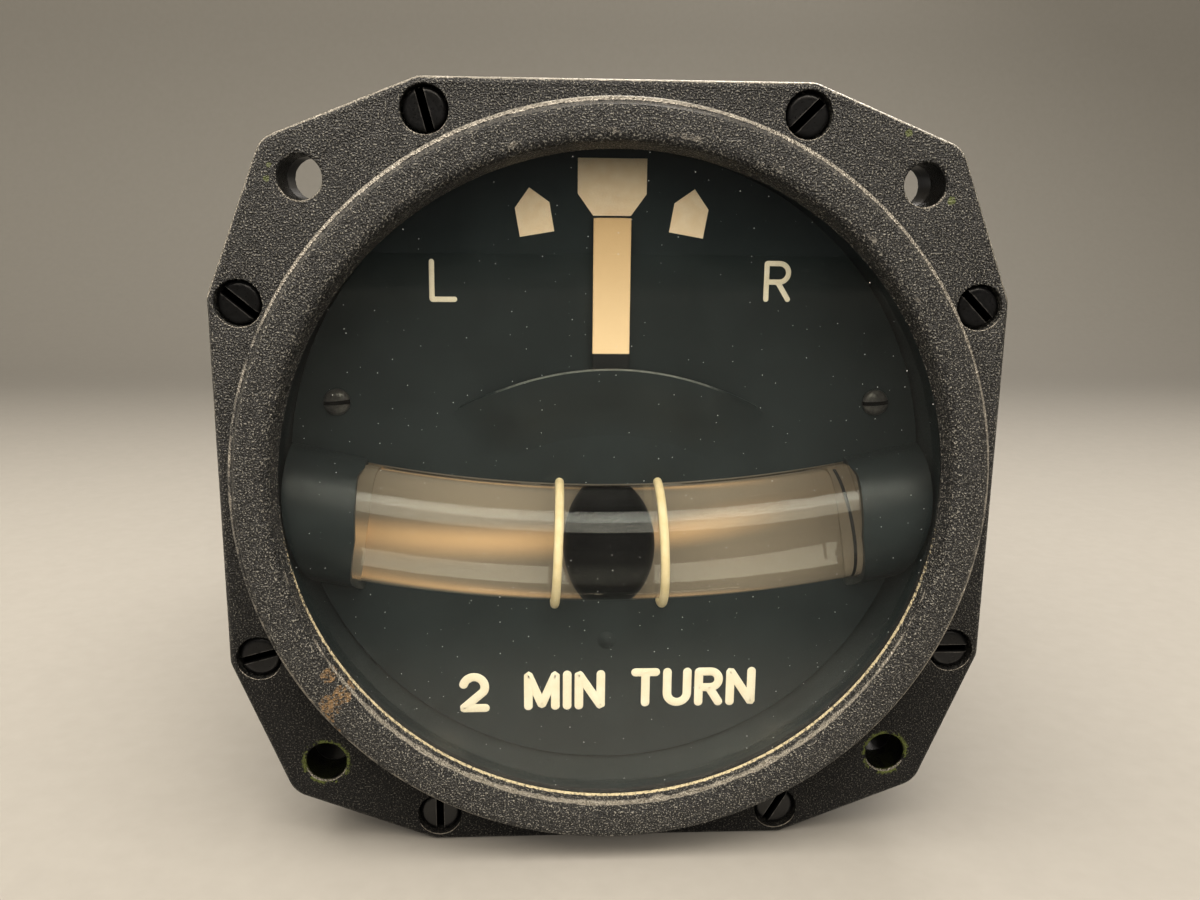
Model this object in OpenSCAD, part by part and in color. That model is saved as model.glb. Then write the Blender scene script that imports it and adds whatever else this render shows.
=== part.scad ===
// Aircraft turn and slip indicator, electric, for a round panel cut-out.
// X is to the right of the face, Y runs back into the panel, Z is up.
// The origin is the centre of the four mounting holes on the flange's front face.

/* [Panel flange] */
// Diameter of the ring that fills the panel cut-out
ring_d = 78.74; // [70:0.01:90]
// Width of the flange beyond the ring at its straight edges
flange_rim = 1.88; // [1.6:0.01:3]
// Diameter of the mounting holes
hole_d = 4.4; // [3.6:0.1:4.8]
// Land between the ring and the mounting holes
hole_land = 2.882; // [2.4:0.001:3.4]
// Share of the ring's diameter that each straight edge takes
flat_share = 0.5004; // [0.46:0.0001:0.54]
// Slope of the edges beside each straight edge, degrees
slant = 21.5; // [20:0.5:24]
// Radius of the four flange corners
corner_r = 3; // [1:0.25:5]
// Thickness of the bezel's flange
bezel_t = 4.8; // [4:0.1:7]

/* [Bezel ring] */
// Height of the ring in front of the flange
ring_h = 4.7; // [4:0.1:6]
// Height of the ring's straight outer wall
shoulder_h = 3; // [2:0.1:3.4]
// Width of the ring from the window to its outer wall
ring_wall = 4.47; // [4:0.01:6]
// Width of the curved lip round the window
lip_w = 1.4; // [0.8:0.1:1.8]
// Width of the flat band round the ring's face
band_w = 2.1; // [1.4:0.1:2.6]
// Height of the window's edge in front of the flange
lip_h = 3.7; // [3.2:0.1:4.6]
// Width of the sloping ledge between the window's edge and the glass
ledge_w = 0.45; // [0.2:0.05:0.8]

/* [Bezel screws] */
// Land between the ring and the screws' counterbores
screw_land = 0.83; // [0.6:0.01:1.1]
// Angle of each screw from the nearest straight edge's middle, degrees
screw_angle = 26.6; // [25:0.1:28]
// Diameter of the screw heads
head_d = 4.3; // [3.6:0.1:4.6]
// Height of the screw heads
head_h = 1.8; // [1.2:0.1:2.4]
// Depth of the screw heads below the flange's face
head_sink = 0.5; // [0.2:0.1:1]
// Diameter of the screw shanks
shank_d = 2.4; // [1.8:0.1:2.6]
// Width of the screwdriver slots
slot_w = 0.7; // [0.4:0.05:1]

/* [Cover glass] */
// Width of glass held behind the window's edge
glass_lap = 2.3; // [1.6:0.1:2.4]
// Thickness of the glass
glass_t = 2.2; // [1.6:0.1:3]
// Distance of the glass's front in front of the flange
glass_proud = 2.5; // [0.8:0.1:3]
// Thickness of the gasket behind the glass
gasket_t = 1; // [0.6:0.1:1.6]

/* [Dial] */
// Width of dial hidden behind the window's edge
dial_lap = 0.4; // [0.2:0.05:0.6]
// Thickness of the dial
dial_t = 1; // [0.6:0.1:1.4]
// Thickness of the painted marks
paint_t = 0.1; // [0.05:0.01:0.2]
// Distance of each dial screw from the dial's side edge
dial_screw_inset = 5.3; // [4.7:0.1:6]
// Height of the dial screws
dial_screw_z = 7.7; // [7.4:0.1:9]
// Diameter of the dial screws' heads
dial_head_d = 2.9; // [2.4:0.1:3.6]
// Gap between the slip tube's window and the foot of the pressed hood
hood_gap = 5.65; // [4.5:0.05:6.5]
// Length of the hood from its crest to where it meets the dial
hood_run = 7.7; // [6:0.1:8.5]
// Height of the hood's crest in front of the dial
hood_rise = 2.8; // [2.4:0.1:3.4]
// Half of the angle that the hood spans, degrees
hood_half = 33; // [30:1:36]

/* [Turn pointer] */
// Share of the dial's radius from its middle down to the pointer's pivot
pivot_share = 0.58357; // [0.56:0.00001:0.61]
// Width of the pointer
pointer_w = 4.05; // [3:0.05:4.6]
// Thickness of the pointer
pointer_t = 0.6; // [0.4:0.05:0.8]
// Gap between the pointer and the dial
needle_gap = 0.6; // [0.4:0.05:0.9]
// Diameter of the pointer's staff
staff_d = 2; // [1.6:0.1:2.4]

/* [Slip tube] */
// Outer diameter of the glass tube
tube_d = 13.1; // [12:0.1:13.6]
// Wall of the glass tube
tube_wall = 1.05; // [0.8:0.05:1.2]
// Radius of the tube's curve, on its centre line
tube_bend_r = 148; // [130:1:170]
// Share of the dial's radius from its middle down to the tube's lowest point
tube_share = 0.24646; // [0.23:0.00001:0.26]
// Distance of the tube's ends from the dial's side edges
tube_inset = 4.9; // [4.5:0.1:6]
// Length of tube hidden under each end cover
tube_hidden = 2.9; // [1.2:0.1:3.4]
// Diameter of the ball
ball_d = 10.4; // [9:0.1:10.4]
// Distance between the two index wires
wire_spacing = 11.7; // [11:0.1:13]
// Diameter of the index wires
wire_d = 1; // [0.6:0.1:1.2]

/* [Gyro] */
// Gap between the gimbal's sides and the case's bore
gimbal_side_gap = 4.8; // [4.4:0.1:6]
// Gap between the flywheel and the gimbal's front and rear bars
flywheel_room = 6; // [3:0.5:10]
// Thickness of the gimbal's bars
gimbal_bar = 4; // [3:0.1:4.2]
// Height of the gimbal's bars
gimbal_h = 14; // [12.5:0.5:15]
// Full tilt of the gimbal each way, degrees
gimbal_tilt = 20; // [8:0.5:20]
// Diameter of the flywheel
flywheel_d = 40; // [34:0.5:42]
// Room for the governor to the left of the flywheel
governor_space = 13.1; // [12:0.1:15]
// Diameter of the rotor's shaft
rotor_shaft_d = 4; // [3:0.1:5]
// Diameter of the armature
armature_d = 18; // [14:0.5:18.4]
// Diameter of the gimbal's pivots
gimbal_pivot_d = 3; // [2:0.1:3.6]

/* [Damper and spring] */
// Distance of the damper to the left of the gimbal's axis
damper_off = 12; // [11:0.5:14]
// Outer diameter of the damper's cylinder
damper_d = 10; // [8.5:0.1:10.5]
// Outer diameter of the centering spring
spring_d = 5; // [4:0.1:5.6]
// Diameter of the centering spring's wire
spring_wire = 0.6; // [0.4:0.05:0.7]
// Number of the centering spring's coils
spring_coils = 8; // [6:1:9]

/* [Case] */
// Step from the ring's outer wall in to the case's outer wall
case_step = 0.47; // [0.1:0.01:0.8]
// Step from the window's edge in to the case's bore
bore_step = 0.1; // [0.05:0.05:0.4]
// Thickness of the case's flange behind the bezel
case_flange_t = 4; // [3:0.1:6]
// Thickness of the mechanism's front and rear plates
plate_t = 3; // [2:0.1:4]
// Thickness of the rear cover
cover_t = 3; // [2:0.1:5]
// Number of rear cover screws
cover_screws = 6; // [4:1:8]

/* [Connector] */
// Outer diameter of the connector's barrel
barrel_d = 15.8; // [14.6:0.1:17]
// Length of the barrel behind its flange
barrel_l = 12; // [10:0.5:16]
// Side of the connector's square flange
conn_flange_w = 25.4; // [24.4:0.1:27]
// Spacing of the connector's four screws
conn_screw_spacing = 18.3; // [18:0.1:19]

/* [Hidden] */
$fn = 96;

// Clearances: between seated pieces, round a running shaft, round a screw and between passing pieces
seat_gap = 0.02;
run_gap = 0.04;
screw_gap = 0.1;
pass_gap = 0.3;
// Overshoot of a cut past the face that it opens
cut = 0.5;

// Radii of the bezel, glass, dial and case, from the ring inwards and outwards
ring_r = ring_d / 2;
window_r = ring_r - ring_wall;
band_in_r = window_r + lip_w;
band_out_r = band_in_r + band_w;
flange_half = ring_r + flange_rim;
flat_len = ring_d * flat_share;
hole_half = (ring_r + hole_d / 2 + hole_land) / sqrt(2);
glass_r = window_r + glass_lap;
pocket_r = glass_r + pass_gap;
dial_r = window_r + dial_lap;
sleeve_gap = 0.1;
sleeve_r = glass_r - sleeve_gap;
sleeve_wall = 1.5;
sleeve_in_r = sleeve_r - sleeve_wall;
case_r = ring_r - case_step;
case_in_r = window_r - bore_step;
case_flange_inset = 0.4;
bore_front_r = sleeve_r + pass_gap;
gimbal_in_half = case_in_r - gimbal_side_gap - gimbal_bar;
gimbal_in_l = flywheel_d + 2 * flywheel_room;

// Depths from front to back, each piece stacked on the one before it
glass_front = -glass_proud;
glass_back = glass_front + glass_t;
gasket_back = glass_back + gasket_t;
tube_glass_gap = 2.5;
tube_r = tube_d / 2;
tube_y = glass_back + tube_glass_gap + tube_r;
tube_sink = 0.2;
dial_front = tube_y - tube_sink;
dial_back = dial_front + dial_t;
cradle_front = tube_y + tube_r + pass_gap;
cradle_t = 0.8;
cradle_back = cradle_front + cradle_t;
arm_gap = 1.35;
arm_front = cradle_back + arm_gap;
arm_back = arm_front + pointer_t;
collar_l = 2.2;
fork_front = arm_back + collar_l;
fork_t = 1.5;
fork_back = fork_front + fork_t;
fork_room = 2.5;
plate_front = fork_back + fork_room;
plate_back = plate_front + plate_t;
gimbal_room = 5;
gimbal_front = plate_back + gimbal_room;
gimbal_in_front = gimbal_front + gimbal_bar;
gimbal_in_back = gimbal_in_front + gimbal_in_l;
gimbal_back = gimbal_in_back + gimbal_bar;
rotor_y = (gimbal_in_front + gimbal_in_back) / 2;
damper_clear = 2;
damper_room = damper_d + damper_clear;
rear_plate_front = gimbal_back + damper_room;
rear_plate_back = rear_plate_front + plate_t;
rear_room = 5;
case_back = rear_plate_back + rear_room;
rear_gasket_t = 0.8;
cover_front = case_back + rear_gasket_t;
cover_back = cover_front + cover_t;

// Bezel screws
cbore_gap = 0.25;
cbore_r = head_d / 2 + cbore_gap;
cbore_depth = head_sink + head_h;
screw_circle_r = ring_r + screw_land + cbore_r;
thread_l = 3.4;
screw_end = bezel_t + thread_l;
slot_angles = [105, 45, -45, 0, 60, 90, 15, -40];

// Hood and pointer slot, measured from the pointer's pivot
hood_t = 0.7;
pivot_z = -dial_r * pivot_share;
tube_z = -dial_r * tube_share;
tube_slot_gap = 0.4;
tube_slot_half = tube_r + tube_slot_gap;
hood_foot_r = tube_z + tube_slot_half + hood_gap - pivot_z;
hood_r = hood_foot_r + hood_run;
hood_lap = 0.4;
hood_side_angle = 2.5;
dial_slot_in_r = hood_foot_r + hood_lap;
dial_slot_out_r = hood_r - pass_gap;
dial_slot_half = hood_half - hood_side_angle;
bump_r = 1.1;
bump_h = 0.45;

// Index block, pointer and rate marks, down from the dial's top edge
index_inset = 1.3;
index_top = dial_r - index_inset;
index_block_h = 3.7;
index_shoulder = index_top - index_block_h;
index_w = 7.4;
index_neck_h = 2.3;
index_gap = 0.2;
pointer_len = index_shoulder - index_neck_h - index_gap - pivot_z;
mark_angle = 9.8;
mark_overlap = 1.11;
mark_r = pointer_len - mark_overlap;
mark_w = 3.75;
mark_side_h = 3.1;
mark_h = 4.95;

// Slip tube: its bend centre, its bore and what holds it
tube_half = dial_r - tube_inset;
tube_show = tube_half - tube_hidden;
bend_z = tube_z + tube_bend_r;
tube_bore_r = tube_r - tube_wall;
tube_end_angle = asin(tube_half / tube_bend_r);
plug_l = 1.5;
plug_angle = plug_l / tube_bend_r * 180 / PI;
slot_end_angle = pass_gap / tube_bend_r * 180 / PI;
end_cover_gap = 0.15;
end_cover_wall = 0.75;
end_cover_r = tube_r + end_cover_gap + end_cover_wall;
end_cover_past = 3.6;
end_cover_end = tube_half + end_cover_past;
end_slot_end = tube_half + pass_gap;
cradle_rim = 0.95;
cradle_half = tube_r + cradle_rim;
wire_r = wire_d / 2;
wire_gap = 0.05;
wire_ring_r = tube_r + wire_r + wire_gap;
wire_angle = asin(wire_spacing / 2 / tube_bend_r);
wire_tail = 0.8;
dial_edge_gap = 0.2;

// Turn pointer: its bends and the pieces on its staff
staff_r = staff_d / 2;
needle_back = dial_front - needle_gap;
needle_front = needle_back - pointer_t;
arm_bend_room = 2.2;
arm_bend_z = tube_z + cradle_half + arm_bend_room;
needle_bend_in = 0.8;
needle_bend_z = pivot_z + hood_r - needle_bend_in;
hub_wall = 2;
hub_r = staff_r + hub_wall;
collar_wall = 1.4;
collar_r = staff_r + collar_wall;
bridge_t = 1.5;
bridge_room = 2;
bridge_front = dial_back + bridge_room;
bridge_back = bridge_front + bridge_t;
bridge_half = 11;
bridge_leg = 2.5;
bridge_h = 6.4;
bush_wall = 1;
counter_r = 3;
counter_l = 3;
counter_reach = 9;
tail_t = 1.2;
tail_half = 1.5;

// Drive from the gimbal to the pointer
drive_ratio = 0.92;
drive_r = -pivot_z * drive_ratio / (1 + drive_ratio);
drive_pin_r = 0.8;
drive_gap = 0.35;
fork_prong = 1.6;
fork_slot_in = 3;
fork_tip = 2.5;
drive_pin_past = 1;
lug_w = 6;
lug_rim = 2.6;
drive_sweep = drive_r * sin(gimbal_tilt);
drive_slot_gap = 1;

// Frame between the plates
post_r = 1.9;
post_circle_r = case_in_r - post_r - pass_gap;
frame_shank_r = 1;
frame_shank_l = 6;
frame_head_r = 2.1;
frame_head_h = 1.4;
dial_screw_x = dial_r - dial_screw_inset;
dial_post_r = 2.2;
dial_shank_r = 0.9;
dial_shank_l = 5;
dial_head_h = 1.1;
rear_plate_gap = 0.4;
rear_plate_r = case_in_r - rear_plate_gap;

// Gimbal and rotor
gimbal_out_half = gimbal_in_half + gimbal_bar;
gimbal_half_h = gimbal_h / 2;
gimbal_pivot_r = gimbal_pivot_d / 2;
gimbal_bearing_wall = 2.5;
gimbal_bearing_r = gimbal_pivot_r + gimbal_bearing_wall;
pivot_floor = 0.5;
pivot_grip = gimbal_bar - pivot_floor;
shaft_r = rotor_shaft_d / 2;
rotor_bearing_wall = 3;
rotor_bearing_r = shaft_r + rotor_bearing_wall;
flywheel_r = flywheel_d / 2;
flywheel_rim = 6;
flywheel_hub_wall = 3.5;
flywheel_hub_r = shaft_r + flywheel_hub_wall;
flywheel_web = 5;
brush_end_room = 1;
brush_plate_t = 1.6;
brush_plate_left = gimbal_in_half - brush_end_room - brush_plate_t;
brush_plate_room = 0.8;
commutator_wall = 2.5;
commutator_r = shaft_r + commutator_wall;
commutator_l = 4;
commutator_right = brush_plate_left - brush_plate_room;
commutator_left = commutator_right - commutator_l;
commutator_room = 1.5;
armature_r = armature_d / 2;
armature_l = 9;
armature_right = commutator_left - commutator_room;
armature_left = armature_right - armature_l;
armature_room = 3;
winding_slots = 8;
winding_slot_r = 1.2;
flywheel_right = armature_left - armature_room;
flywheel_left = governor_space - gimbal_in_half;
flywheel_mid = (flywheel_left + flywheel_right) / 2;
commutator_cut = 0.3;
commutator_cut_depth = 1;
air_gap = 0.6;
magnet_t = 2.3;
magnet_r = armature_r + air_gap + magnet_t;
magnet_span = 130;
yoke_in_r = magnet_r + seat_gap;
yoke_wall = 1.5;
yoke_r = yoke_in_r + yoke_wall;
brush_gap = 0.3;
brush_w = 2.6;
brush_wall = 0.6;
brush_room = 1.4;
brush_top = yoke_in_r - brush_room;
brush_set = 0.5;
brush_holder_gap = 1.2;
brush_plate_bore_r = shaft_r + 5 * pass_gap;
governor_hub_wall = 2;
governor_hub_r = shaft_r + governor_hub_wall;
governor_room = 1;
governor_left = -gimbal_in_half + governor_room;
governor_right = flywheel_left - 2 * pass_gap;
governor_hub_l = 3;
governor_disc_r = 9;
governor_disc_t = 1.2;
governor_rim = 1;
governor_weight = 3;
governor_weight_half = 2;
governor_weight_l = 4;

// Travel stops under the gimbal's front bar
stop_r = 1;
stop_inset = 6;
stop_x = gimbal_in_half - stop_inset;
stop_margin = 0.5;
stop_z = -(gimbal_half_h + stop_r + stop_margin) / cos(gimbal_tilt) - stop_x * tan(gimbal_tilt);

// Damper
damper_r = damper_d / 2;
damper_wall = 0.9;
damper_stand = 0.5;
damper_y = rear_plate_front - damper_r - damper_stand;
damper_travel = damper_off * gimbal_tilt * PI / 180;
piston_l = 3;
piston_gap = 0.3;
damper_end_t = 1;
damper_stroke_gap = 1;
damper_in_l = piston_l + 2 * (damper_travel + damper_stroke_gap);
damper_head_h = 4.4;
damper_neck = 2.5;
damper_top = -damper_head_h / 2 - damper_travel - damper_neck;
damper_bottom = damper_top - damper_in_l - 2 * damper_end_t;
piston_z = damper_top - damper_end_t - damper_in_l / 2;
damper_rod_r = 1;
damper_pin_r = 0.8;
damper_head_w = 6.4;
damper_head_t = 3.5;
damper_slot_gap = 0.3;
damper_foot_inset = 2;

// Centering spring, hung from the gimbal's rear lug
spring_room = 3;
spring_y = gimbal_back + spring_room;
spring_pin_r = 0.8;
spring_pin_past = 1.5;
spring_drop = 3.5;
spring_pin_z = -gimbal_half_h - spring_drop;
spring_r = (spring_d - spring_wire) / 2;
spring_pitch = 1.4;
hook_r = spring_pin_r + pass_gap + spring_wire / 2;
spring_body = spring_coils * spring_pitch;
spring_lead = 1;
spring_low_z = spring_pin_z - 2 * hook_r - spring_body - 2 * spring_lead;
adjuster_r = spring_pin_r;
adjuster_collar_r = 2.2;
adjuster_collar_l = 1.5;

// Rear cover and connector
cover_screw_circle = (case_r + case_in_r) / 2;
cover_shank_r = 1;
cover_thread_l = 6;
cover_head_r = 1.9;
cover_head_h = 1.4;
spigot_gap = 0.2;
spigot_r = case_in_r - spigot_gap;
spigot_wall = 2;
spigot_l = 2.5;
barrel_r = barrel_d / 2;
barrel_wall = 1.3;
conn_flange_t = 2.4;
conn_flange_back = cover_back + conn_flange_t;
barrel_end = conn_flange_back + barrel_l;
barrel_inset = 1;
barrel_front = cover_front - barrel_inset;
insert_proud = 2;
insert_end = conn_flange_back + insert_proud;
pin_r = 0.8;
pin_circle_r = 3.2;
pin_count = 3;
pin_tail = 1;
pin_front = barrel_front - pin_tail;
pin_proud = 4;
pin_end = insert_end + pin_proud;
conn_shank_r = 1.2;
conn_head_r = 2.1;
conn_head_h = 1.4;
terminal_z = 16;
terminal_w = 16;
terminal_h = 6;
terminal_t = 2.4;
terminal_screw_x = 4;
lead_r = 0.5;
lead_bow = 6.3;
lead_sides = 8;

// A round bar along each axis
module rod_y(r, y0, y1) { translate([0, y0, 0]) rotate([-90, 0, 0]) cylinder(r = r, h = y1 - y0); }
module rod_x(r, x0, x1) { translate([x0, 0, 0]) rotate([0, 90, 0]) cylinder(r = r, h = x1 - x0); }
module rod_z(r, z0, z1) { translate([0, 0, z0]) cylinder(r = r, h = z1 - z0); }
module tube_along_y(r, bore_r, y0, y1) {
    difference() {
        rod_y(r, y0, y1);
        rod_y(bore_r, y0 - cut, y1 + cut);
    }
}
module tube_along_x(r, bore_r, x0, x1) {
    difference() {
        rod_x(r, x0, x1);
        rod_x(bore_r, x0 - cut, x1 + cut);
    }
}

// A flat shape drawn as seen from the front, from one depth to another
module face_plate(y0, y1) {
    translate([0, y1, 0]) rotate([90, 0, 0]) linear_extrude(y1 - y0) children();
}
// A block given by its low and high corners
module block(low, high) { translate(low) cube(high - low); }
// A profile of radius and depth turned about an axis along Y
module turn_y() { rotate([-90, 0, 0]) rotate_extrude() children(); }
// Copies in the two halves, and at the four corners of a square
module both_sides() {
    children();
    mirror([1, 0, 0]) children();
}
module four_corners(half) {
    for (x = [-half, half]) for (z = [-half, half]) translate([x, 0, z]) children();
}
// A profile of radius and depth turned part of the way, upwards about the pointer's pivot
module swing_sector(half) {
    translate([0, 0, pivot_z]) rotate([-90, 0, 0]) rotate([0, 0, -90 - half])
        rotate_extrude(angle = 2 * half) children();
}
// The same, downwards about the centre of the slip tube's bend
module bend_sector(half) {
    translate([0, 0, bend_z]) rotate([-90, 0, 0]) rotate([0, 0, 90 - half])
        rotate_extrude(angle = 2 * half) children();
}
// Moves a piece along the slip tube, or to the pointer's pivot
module along_tube(angle) {
    translate([0, 0, bend_z]) rotate([0, -angle, 0]) translate([0, 0, -bend_z]) children();
}
module at_pivot() { translate([0, 0, pivot_z]) children(); }
module at_rotor() { translate([0, rotor_y, 0]) children(); }
// A slotted screw that points back from its seat, and its mirror image that points forward
module screw(head_r, head_l, body_r, body_l, slot_angle) {
    difference() {
        union() {
            rod_y(head_r, -head_l, 0);
            rod_y(body_r, -cut, body_l);
        }
        rotate([0, -slot_angle, 0])
            block([-head_r - cut, -head_l - cut, -slot_w / 2], [head_r + cut, -head_l / 2, slot_w / 2]);
    }
}
module rear_screw(head_r, head_l, body_r, body_l, slot_angle) {
    mirror([0, 1, 0]) screw(head_r, head_l, body_r, body_l, slot_angle);
}

// The flange's outline: four straight edges, eight slanted ones and four round corners
function turned(p, a) = [p[0] * cos(a) + p[1] * sin(a), p[1] * cos(a) - p[0] * sin(a)];
module flange_outline(inset) {
    edge = flange_half - inset;
    reach = flat_len / 2 * sin(slant) + flange_half * cos(slant) - inset;
    flat_half = (reach - edge * cos(slant)) / sin(slant);
    corner = (reach - corner_r) / (sin(slant) + cos(slant));
    touch = [corner + corner_r * sin(slant), corner + corner_r * cos(slant)];
    quarter = [[flat_half, edge], touch, [touch[1], touch[0]], [edge, flat_half]];
    polygon([for (q = [0:3]) for (p = quarter) turned(p, 90 * q)]);
    for (q = [0:3]) rotate(90 * q) translate([corner, corner]) circle(corner_r);
}
// Places of the eight bezel screws, two beside each straight edge
module at_bezel_screws() {
    for (i = [0:7]) {
        angle = 90 * floor(i / 2) + (i % 2 == 0 ? -1 : 1) * screw_angle;
        $slot_angle = slot_angles[i];
        translate([screw_circle_r * sin(angle), 0, screw_circle_r * cos(angle)]) children();
    }
}

// Bezel: flange, ring and the pocket that holds the glass
ring_steps = 6;
ring_profile = concat(
    [[pocket_r, bezel_t], [ring_r, bezel_t]],
    [for (i = [0:ring_steps]) let (a = 90 * i / ring_steps)
        [band_out_r + (ring_r - band_out_r) * cos(a), -shoulder_h - (ring_h - shoulder_h) * sin(a)]],
    [for (i = [0:ring_steps]) let (a = 90 * i / ring_steps)
        [band_in_r - (band_in_r - window_r) * sin(a), -lip_h - (ring_h - lip_h) * cos(a)]],
    [[window_r - ledge_w, -glass_proud], [pocket_r, -glass_proud]]);
module bezel() {
    color("#26282b") difference() {
        union() {
            turn_y() polygon(ring_profile);
            difference() {
                face_plate(0, bezel_t) flange_outline(0);
                rod_y((pocket_r + ring_r) / 2, -cut, bezel_t + cut);
            }
        }
        four_corners(hole_half) rod_y(hole_d / 2, -cut, bezel_t + cut);
        at_bezel_screws() {
            rod_y(cbore_r, -cut, cbore_depth);
            rod_y(shank_d / 2 + screw_gap, 0, bezel_t + cut);
        }
    }
}
module bezel_screws() {
    color("#1b1b1c") at_bezel_screws() translate([0, cbore_depth, 0])
        screw(head_d / 2, head_h, shank_d / 2, screw_end - cbore_depth, $slot_angle);
}
module cover_glass() { color("#cfe0e0", 0.3) rod_y(glass_r, glass_front, glass_back); }
module glass_gasket() {
    color("#151515") tube_along_y(glass_r, window_r + pass_gap, glass_back, gasket_back);
}
module spacer_ring() { color("#1a1c1d") tube_along_y(sleeve_r, sleeve_in_r, gasket_back, plate_front); }

// The slip tube's band across the dial, as seen from the front
module tube_band(half, reach) {
    intersection() {
        translate([0, bend_z]) difference() {
            circle(tube_bend_r + half);
            circle(tube_bend_r - half);
        }
        translate([-reach, tube_z - 2 * half]) square([2 * reach, 4 * half]);
    }
}
// A disc on the slip tube's centre line, as a profile of radius and depth
module tube_disc(r) { translate([tube_bend_r, tube_y]) circle(r); }
module at_wires() {
    for (side = [-1, 1]) along_tube(side * wire_angle) translate([0, tube_y, tube_z]) children();
}
module at_dial_screws() { both_sides() translate([dial_screw_x, 0, dial_screw_z]) children(); }

// Dial: plate with the slip tube's window, the pointer's slot and its pressed hood
hood_wall = 0.75;
module dial_plate() {
    color("#1c2123") union() {
        difference() {
            rod_y(dial_r, dial_front, dial_back);
            bend_sector(tube_end_angle + slot_end_angle) translate([tube_bend_r - tube_slot_half,
                dial_front - cut]) square([2 * tube_slot_half, dial_t + 2 * cut]);
            swing_sector(dial_slot_half) translate([dial_slot_in_r, dial_front - cut])
                square([dial_slot_out_r - dial_slot_in_r, dial_t + 2 * cut]);
            at_wires() for (side = [-1, 1]) translate([0, -tube_y, side * wire_ring_r])
                rod_y(wire_r + screw_gap, dial_front - cut, dial_back + cut);
            at_dial_screws() rod_y(dial_shank_r + screw_gap, dial_front - cut, dial_back + cut);
        }
        swing_sector(hood_half) polygon([[hood_foot_r, dial_front], [hood_r, dial_front - hood_rise],
            [hood_r, dial_front - hood_rise + hood_t], [hood_foot_r, dial_front + hood_t]]);
        for (side = [-1, 1]) translate([0, 0, pivot_z]) rotate([0, side * (hood_half - hood_wall), 0])
            translate([0, 0, -pivot_z]) swing_sector(hood_wall) polygon([[hood_foot_r, dial_front],
                [hood_r, dial_front - hood_rise], [hood_r, dial_front + dial_t / 2],
                [hood_foot_r, dial_front + dial_t / 2]]);
        at_pivot() rod_y(bump_r, dial_front - bump_h, dial_front + dial_t / 2);
    }
}
module dial_markings() {
    neck_z = pivot_z + pointer_len + index_gap;
    color("#c0aa8c") {
        face_plate(dial_front - paint_t, dial_front) polygon([[-index_w / 2, index_top],
            [index_w / 2, index_top], [index_w / 2, index_shoulder], [pointer_w / 2, neck_z],
            [-pointer_w / 2, neck_z], [-index_w / 2, index_shoulder]]);
        for (side = [-1, 1]) at_pivot() rotate([0, side * mark_angle, 0]) translate([0, 0, mark_r])
            face_plate(dial_front - paint_t, dial_front) polygon([[-mark_w / 2, 0], [mark_w / 2, 0],
                [mark_w / 2, mark_side_h], [0, mark_h], [-mark_w / 2, mark_side_h]]);
    }
}
module dial_screws() {
    color("#141414") at_dial_screws() translate([0, dial_front, 0])
        screw(dial_head_d / 2, dial_head_h, dial_shank_r, dial_t + dial_shank_l, slot_angle = 10);
}
module dial_posts() {
    color("#9a9c9e") at_dial_screws() difference() {
        union() {
            rod_y(dial_post_r, dial_back, plate_front);
            rod_y(dial_post_r / 2, plate_front - cut, plate_back);
        }
        rod_y(dial_shank_r + screw_gap, dial_back - cut, dial_back + dial_shank_l + cut);
    }
}

// Slip indicator: bent glass tube, ball, plugs, covers over the tube's ends, backing and index wires
module inclinometer_tube() {
    color("#b8aa94", 0.4) bend_sector(tube_end_angle) difference() {
        tube_disc(tube_r);
        tube_disc(tube_bore_r);
    }
}
module inclinometer_ball() { color("#0d0e10") translate([0, tube_y, tube_z]) sphere(ball_d / 2); }
module tube_plugs() {
    color("#8d8578") for (side = [-1, 1]) along_tube(side * (tube_end_angle - plug_angle / 2))
        bend_sector(plug_angle / 2) tube_disc(tube_bore_r - seat_gap);
}
module tube_end_covers() {
    cover_half = (end_cover_end - tube_show) / 2;
    cap_left = cover_half - (end_cover_end - end_slot_end);
    cover_mid = asin((tube_show + cover_half) / tube_bend_r);
    color("#17191a") intersection() {
        both_sides() along_tube(cover_mid) translate([0, tube_y, tube_z]) difference() {
            rod_x(end_cover_r, -cover_half, cover_half);
            rod_x(tube_r + end_cover_gap, -cover_half - cut, cap_left);
            block([-2 * cover_half, -tube_sink, -2 * end_cover_r],
                [2 * cover_half, end_cover_r, 2 * end_cover_r]);
        }
        rod_y(dial_r - dial_edge_gap, glass_back, dial_back);
    }
}
module tube_cradle() {
    saddle_in = tube_show + pass_gap;
    color("#e9dfca") difference() {
        union() {
            face_plate(cradle_front, cradle_back) tube_band(cradle_half, tube_half);
            face_plate(dial_back, cradle_back) difference() {
                tube_band(cradle_half, tube_half);
                translate([-saddle_in, tube_z - tube_bend_r / 2]) square([2 * saddle_in, tube_bend_r]);
            }
        }
        bend_sector(tube_end_angle + plug_angle) tube_disc(tube_r + end_cover_gap);
    }
}
module index_wires() {
    color("#f3dda2") at_wires() {
        rotate([0, -90, 180]) rotate_extrude(angle = 180) translate([wire_ring_r, 0]) circle(wire_r);
        for (side = [-1, 1]) translate([0, 0, side * wire_ring_r])
            rod_y(wire_r, 0, dial_back + wire_tail - tube_y);
    }
}

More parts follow.
